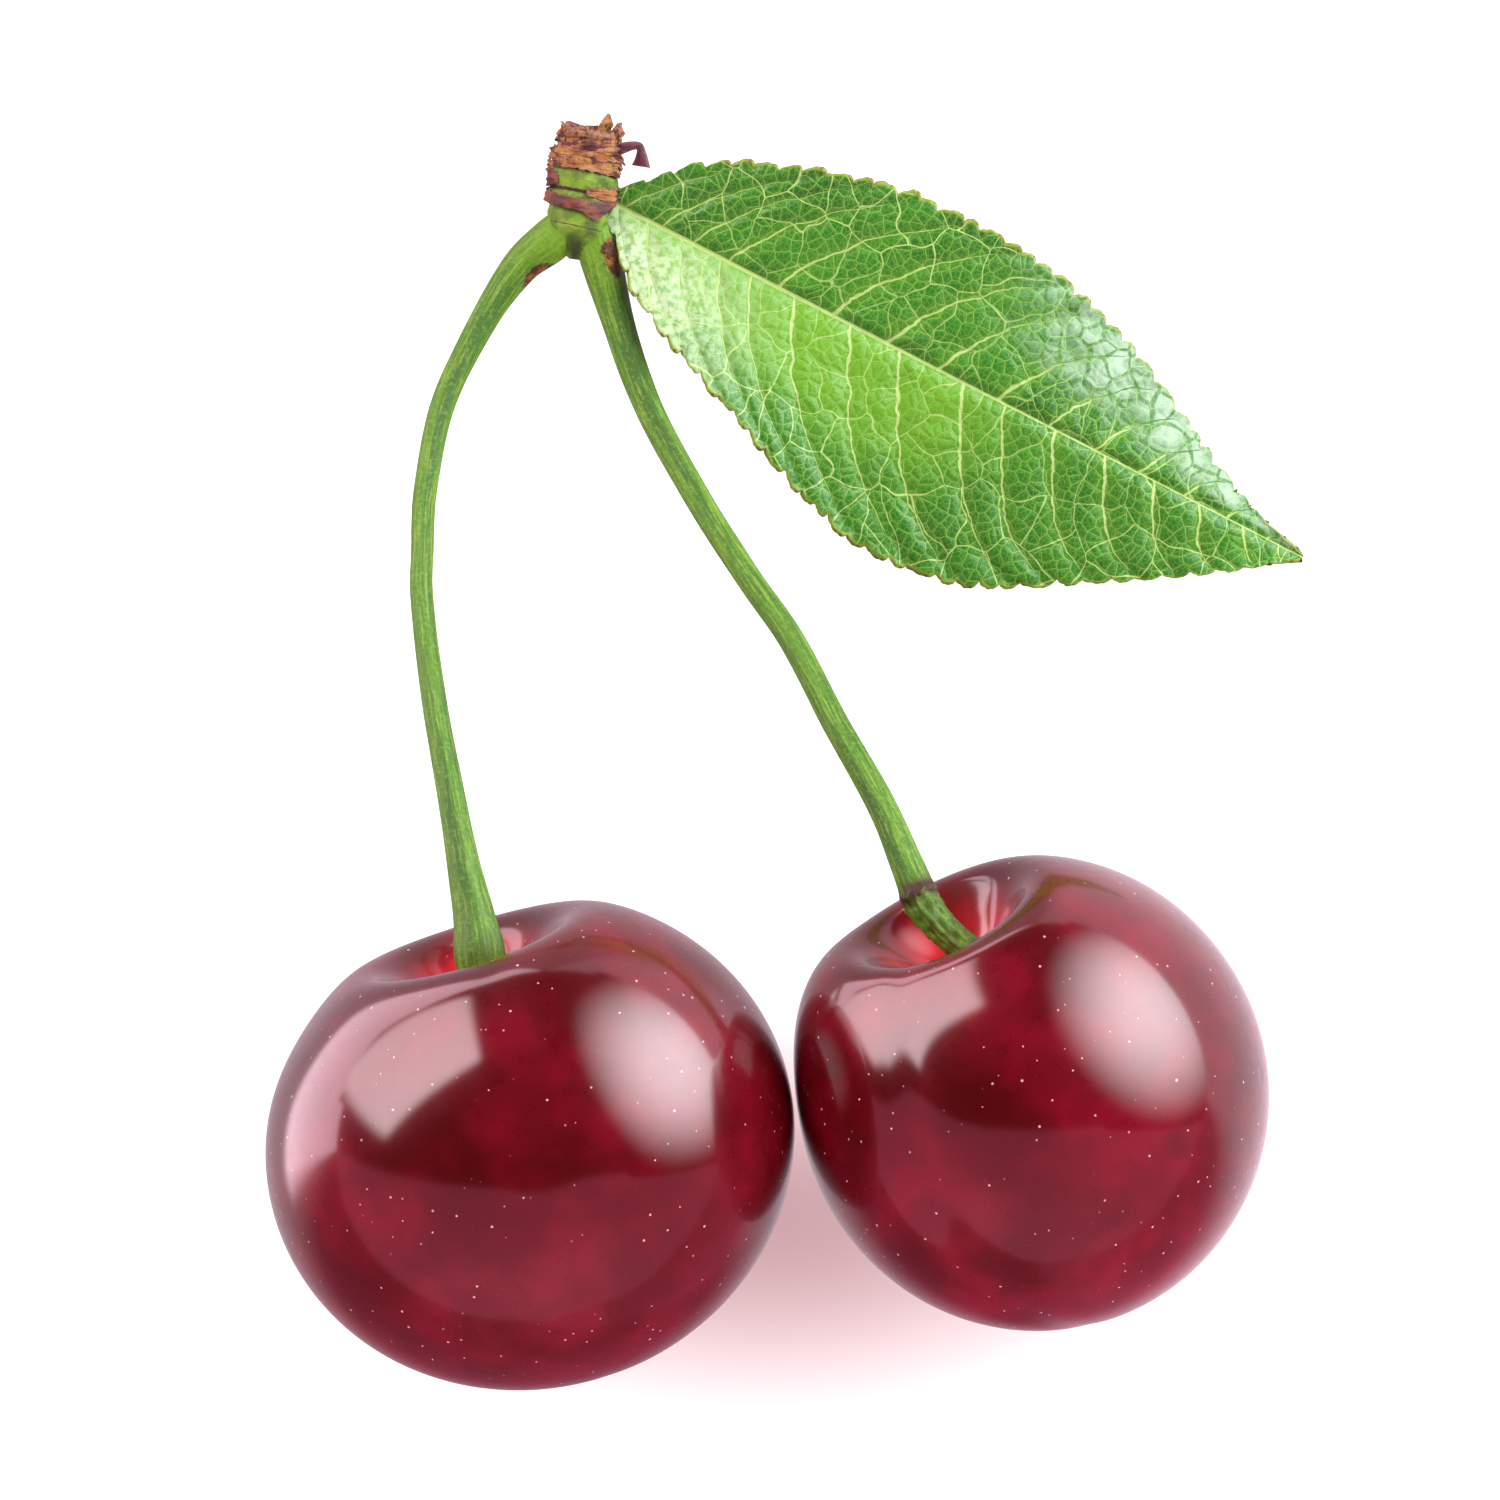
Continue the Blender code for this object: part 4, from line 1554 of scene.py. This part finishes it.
@dataclass
class Studio:
    """A white table, soft cards around it and a long lens straight above."""

    lens: float = 900.0
    sensor: float = 36.0
    field_width: float = 75.3
    aim: tuple[float, float] = (-1.87, -0.06)
    table_paint: float = 0.38
    table_glow: float = 1.0
    # painted pink shadow: where and how far the table's glow dips under the fruit
    shade_middle: tuple[float, float] = (-1.0, -23.5)
    shade_reach: tuple[float, float] = (21.5, 8.5)
    shade_depth: float = 0.62
    shade_tint: Colour = (1.0, 0.42, 0.48)
    room: Colour = (0.03, 0.03, 0.033)
    room_front: Colour = (0.38, 0.36, 0.42)
    # painted reflections: colours that only glossy rays see, in the room and on the table
    mirrored_front: Colour = (0.98, 0.28, 0.44)
    mirrored_front_table: Colour = (0.36, 0.075, 0.13)
    mirrored_table: Colour = (0.60, 0.46, 0.52)
    front_lean: float = 0.36
    cards: tuple[SoftCard, ...] = (
        SoftCard(
            name="left_panel",
            place=(-0.168, 0.135, 0.082),
            size=(0.26, 0.19),
            radiance=7.2,
            soft=0.24,
            foot_share=0.7,
            roll_deg=18.0,
            colour=(1.0, 0.88, 0.91),
        ),
        SoftCard(
            name="right_round",
            place=(0.188, 0.125, 0.092),
            size=(0.48, 0.48),
            radiance=9.4,
            soft=0.95,
            is_round=True,
            colour=(0.92, 0.97, 1.0),
        ),
        SoftCard(
            name="front_fill",
            place=(0.0, -0.22, 0.08),
            size=(0.4, 0.2),
            radiance=6.0,
            soft=0.4,
            in_reflections=False,
        ),
    )

    def build(self) -> None:
        """Sets up the table, the lights, the surroundings and the camera."""
        low, high = (Vector(c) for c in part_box("cherry_left"))
        fruit = Vector((0.0, (low.y + high.y) / 2, 0.012))
        self._table()
        for card in self.cards:
            card.build(fruit)
        self._surroundings()
        self._camera((low.z + high.z) / 2)

    def _table(self) -> None:
        """A wide white table that glows a little, as an overlit one does, with a painted pink shadow
        under the fruit and painted reflections that only glossy rays see.
        """
        mesh = bmesh.new()
        bmesh.ops.create_grid(mesh, x_segments=1, y_segments=1, size=2.0)
        data = bpy.data.meshes.new("table")
        mesh.to_mesh(data)
        mesh.free()
        table = bpy.data.objects.new("table", data)
        bpy.context.scene.collection.objects.link(table)
        material, board, skin = new_material("table_white")
        x, y, _ = board.parts(board.place())
        # painted shadow: the glow dims and turns pink in a soft patch under the fruit
        away = [
            board.math("POWER", board.over(board.minus(at, middle), reach), 2.0)
            for at, middle, reach in zip((x, y), self.shade_middle, self.shade_reach)
        ]
        near = board.math("EXPONENT", board.times(board.plus(*away), -1.0))
        skin.inputs["Base Color"].default_value = (self.table_paint,) * 3 + (1.0,)
        skin.inputs["Roughness"].default_value = 0.9
        skin.inputs["Specular IOR Level"].default_value = 0.0
        board.feed(skin.inputs["Emission Color"], board.mix(near, (1.0, 1.0, 1.0), self.shade_tint))
        board.feed(
            skin.inputs["Emission Strength"],
            board.minus(self.table_glow, board.times(near, self.shade_depth)),
        )
        # painted reflection of the table, seen only by glossy rays: rosy in front of the fruit, pale
        # behind and past its left side
        behind = board.span(y, -42.0, -22.0)
        sheen = board.node("ShaderNodeEmission")
        seen_in_fruit = board.mix(behind, self.mirrored_front_table, self.mirrored_table)
        board.feed(sheen.inputs["Color"], seen_in_fruit)
        right = board.span(x, 8.0, 24.0, 1.0, 1.9)
        left = board.times(board.span(x, -47.0, -41.0, 1.0, 0.0), board.span(y, -30.0, -22.0))
        board.feed(sheen.inputs["Strength"], board.plus(right, board.times(left, 6.0)))
        paths = board.node("ShaderNodeLightPath")
        lit = board.node("ShaderNodeBsdfDiffuse")
        board.feed(lit.inputs["Color"], (self.table_paint,) * 3)
        first = board.node("ShaderNodeMixShader")
        board.feed(first.inputs[0], paths.outputs["Is Camera Ray"])
        board.tree.links.new(lit.outputs[0], first.inputs[1])
        board.tree.links.new(skin.outputs[0], first.inputs[2])
        both = board.node("ShaderNodeMixShader")
        board.feed(both.inputs[0], paths.outputs["Is Glossy Ray"])
        board.tree.links.new(first.outputs[0], both.inputs[1])
        board.tree.links.new(sheen.outputs[0], both.inputs[2])
        board.tree.links.new(both.outputs[0], board.tree.nodes["Material Output"].inputs["Surface"])
        data.materials.append(material)

    def _surroundings(self) -> None:
        """A dim room for reflections that shows as plain pale grey, with a painted rosy reflection in
        front that only glossy rays see.
        """
        world = bpy.data.worlds.new("room")
        bpy.context.scene.world = world
        world.use_nodes = True
        board = Board(world.node_tree)
        seen = board.node("ShaderNodeLightPath").outputs["Is Camera Ray"]
        _, y, z = board.parts(board.node("ShaderNodeTexCoord").outputs["Generated"])
        lean = board.plus(y, board.times(z, self.front_lean))
        mirrored = board.node("ShaderNodeLightPath").outputs["Is Glossy Ray"]
        # painted reflection: glossy rays see the front of the room rosy
        front = board.mix(mirrored, self.room_front, self.mirrored_front)
        walls = board.mix(board.span(lean, -0.03, 0.03, 1.0, 0.0), self.room, front)
        backdrop = world.node_tree.nodes["Background"]
        board.feed(backdrop.inputs["Color"], board.mix(seen, walls, (0.93, 0.93, 0.94)))
        backdrop.inputs["Strength"].default_value = 1.0

    def _camera(self, height: float) -> None:
        """A long lens straight above, framed on the sprig.

        Args:
            height: the height it frames, in metres.
        """
        data = bpy.data.cameras.new("camera")
        data.lens = self.lens
        data.sensor_width = self.sensor
        data.clip_end = 10.0
        camera = bpy.data.objects.new("camera", data)
        bpy.context.scene.collection.objects.link(camera)
        away = self.field_width * MM * self.lens / self.sensor
        camera.location = (self.aim[0] * MM, self.aim[1] * MM, height + away)
        bpy.context.scene.camera = camera
        bpy.context.scene.view_settings.view_transform = "Standard"


# ---------------------------------------------------------------- the sprig


LEFT_CHERRY = Cherry(
    node="cherry_left",
    slot="cherry_skin_left",
    lean_deg=17.0,
    raise_deg=10.5,
    half=(13.4, 12.6, 12.4),
    hollow_depth=5.1,
    hollow_radius=4.05,
    hollow_power=2.4,
    suture_depth=0.22,
    suture_turn_deg=6.0,
    cheek=(-0.3, 38.0, 180.0, 18.0),
)
RIGHT_CHERRY = Cherry(
    node="cherry_right",
    slot="cherry_skin_right",
    lean_deg=27.5,
    raise_deg=20.0,
    half=(11.8, 11.7, 12.1),
    hollow_depth=4.8,
    hollow_radius=3.7,
    hollow_power=2.8,
    suture_depth=0.3,
    suture_turn_deg=-38.0,
    cheek=(0.95, 34.0, 180.0, 23.0),
)
LEFT_STALK = Stalk(
    node="stalk_left",
    route=(
        (-10.7, 27.0, 2.35, 0.80),
        (-11.85, 25.75, 2.35, 1.12),
        (-13.55, 24.3, 2.5, 0.92),
        (-15.36, 21.55, 3.0, 0.70),
        (-17.36, 17.35, 4.2, 0.62),
        (-18.21, 13.05, 5.7, 0.59),
        (-18.36, 9.95, 7.0, 0.58),
        (-18.36, 7.45, 8.1, 0.58),
        (-17.76, 2.65, 10.2, 0.63),
        (-16.88, -2.25, 12.1, 0.70),
        (-16.2, -5.95, 13.3, 0.84),
        (-15.72, -8.35, 13.9, 1.02),
        (-15.42, -10.25, 14.3, 1.26),
        (-15.25, -11.65, 14.3, 1.05),
    ),
    scab_turn=0.35,
    scab_at=(0.085, 0.028),
)
RIGHT_STALK = Stalk(
    node="stalk_right",
    route=(
        (-9.95, 27.0, 2.35, 0.90),
        (-9.55, 25.3, 2.35, 1.10),
        (-8.56, 21.55, 2.9, 0.82),
        (-7.06, 17.35, 4.0, 0.71),
        (-4.76, 13.05, 5.7, 0.67),
        (-2.11, 8.85, 7.6, 0.66),
        (0.24, 5.45, 9.2, 0.66),
        (2.4, 1.35, 11.0, 0.68),
        (4.7, -2.75, 12.8, 0.74),
        (6.04, -5.85, 13.9, 0.84),
        (6.85, -7.85, 14.4, 0.92),
        (7.59, -8.8, 14.6, 0.84),
        (8.54, -9.7, 14.7, 0.80),
        (9.34, -10.4, 14.6, 0.95),
    ),
    ring_at=0.905,
    neck_rough=0.16,
    scab_turn=0.9,
    scab_at=(0.054, 0.027),
    end_ribs=11,
)
WRAPPED_SCALES = (
    WrappedScale(
        node="bud_scale_band",
        angles=(-112.0, 112.0),
        low=(1.45, 1.3, 1.15, 1.05, 0.95, 0.55, 1.2, 1.5, 1.7),
        high=(1.95, 1.85, 1.75, 1.6, 1.55, 1.5, 1.7, 1.9, 2.0),
        radii=(1.84, 1.76),
        crumple=0.07,
        torn=0.08,
    ),
    WrappedScale(
        node="bud_scale_left",
        angles=(-150.0, -46.0),
        low=(3.0, 2.9, 2.95, 3.05, 3.3),
        high=(4.7, 5.2, 4.6, 4.9, 4.3),
        radii=(1.72, 1.45),
    ),
    WrappedScale(
        node="bud_scale_front",
        angles=(-42.0, 62.0),
        low=(3.2, 3.05, 2.95, 3.0, 3.2),
        high=(4.9, 5.15, 4.95, 5.0, 4.7),
        radii=(1.86, 1.58),
    ),
    WrappedScale(
        node="bud_scale_point",
        angles=(20.0, 52.0),
        low=(5.0, 4.9, 5.0),
        high=(5.4, 6.0, 5.4),
        radii=(1.2, 1.5),
        crumple=0.06,
        torn=0.05,
        columns=40,
    ),
    WrappedScale(
        node="bud_scale_right",
        angles=(66.0, 150.0),
        low=(3.3, 3.2, 3.3),
        high=(5.3, 5.6, 5.0),
        radii=(1.84, 1.6),
    ),
)
FRILLS = tuple(
    WrappedScale(*row, is_extra=True)
    for row in (
        (
            "frill_low", (-118.0, 74.0), (2.75, 2.9, 3.05, 2.95, 2.8),
            (3.15, 3.35, 3.5, 3.4, 3.2), (1.86, 1.78), 0.2, 0.2,
        ),
        (
            "frill_middle", (-92.0, 96.0), (3.3, 3.5, 3.4, 3.6, 3.5),
            (3.9, 4.2, 4.0, 4.3, 4.1), (1.86, 1.74), 0.22, 0.24,
        ),
        (
            "frill_slit", (-48.0, 70.0), (4.0, 3.9, 4.05, 4.2),
            (4.35, 4.5, 4.55, 4.5), (1.78, 1.66), 0.2, 0.2,
        ),
        (
            "frill_top", (-120.0, 20.0), (4.3, 4.4, 4.5, 4.6),
            (5.15, 5.35, 5.0, 5.1), (1.58, 1.42), 0.2, 0.22,
        ),
        (
            "frill_left_bud", (-104.0, -44.0), (2.15, 2.0, 2.2),
            (2.75, 2.95, 2.7), (1.78, 1.82), 0.14, 0.1,
        ),
        (
            "frill_right_crust", (8.0, 84.0), (1.75, 1.6, 1.8),
            (2.15, 2.2, 2.3), (1.84, 1.80), 0.14, 0.16,
        ),
    )
)
DARK_FRILLS = ("frill_slit", "frill_left_bud")


PAPERY = ScaleSkin(
    tone=ScaleTone.PAPERY,
    light=(0.42, 0.19, 0.05),
    middle=(0.27, 0.075, 0.009),
    dark=(0.055, 0.005, 0.006),
    edge=(0.30, 0.14, 0.12),
)
BAND = ScaleSkin(
    tone=ScaleTone.PAPERY,
    light=(0.22, 0.06, 0.03),
    middle=(0.07, 0.008, 0.008),
    dark=(0.03, 0.003, 0.005),
    edge=(0.20, 0.07, 0.05),
)
MAROON = ScaleSkin(
    tone=ScaleTone.MAROON,
    light=(0.16, 0.03, 0.05),
    middle=(0.08, 0.008, 0.016),
    dark=(0.025, 0.002, 0.005),
    edge=(0.22, 0.12, 0.14),
)


def build_sprig() -> None:
    """Builds every grown piece with its finish."""
    effects = Effects()
    cherry_skin = CherrySkin().make(effects)
    for cherry in (LEFT_CHERRY, RIGHT_CHERRY):
        cherry.build(cherry_skin)
    LEFT_STALK.build(StalkSkin("stalk_skin_left").make(effects))
    RIGHT_STALK.build(StalkSkin("stalk_skin_right", fruit_stain=0.7).make(effects))
    spur = Spur()
    spur.build(SpurBark().make(effects))
    papery, wine = PAPERY.make(effects), BAND.make(effects)
    for scale in WRAPPED_SCALES:
        scale.build(spur, wine if scale.node == "bud_scale_band" else papery)
    for frill in FRILLS:
        frill.build(spur, wine if frill.node in DARK_FRILLS else papery)
    CurledScale().build(MAROON.make(effects))
    Leaf().build(LeafSkin().make(effects))


def main() -> None:
    """Builds the sprig and the studio."""
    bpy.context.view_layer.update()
    build_sprig()
    Studio().build()


if __name__ == "__main__":
    main()
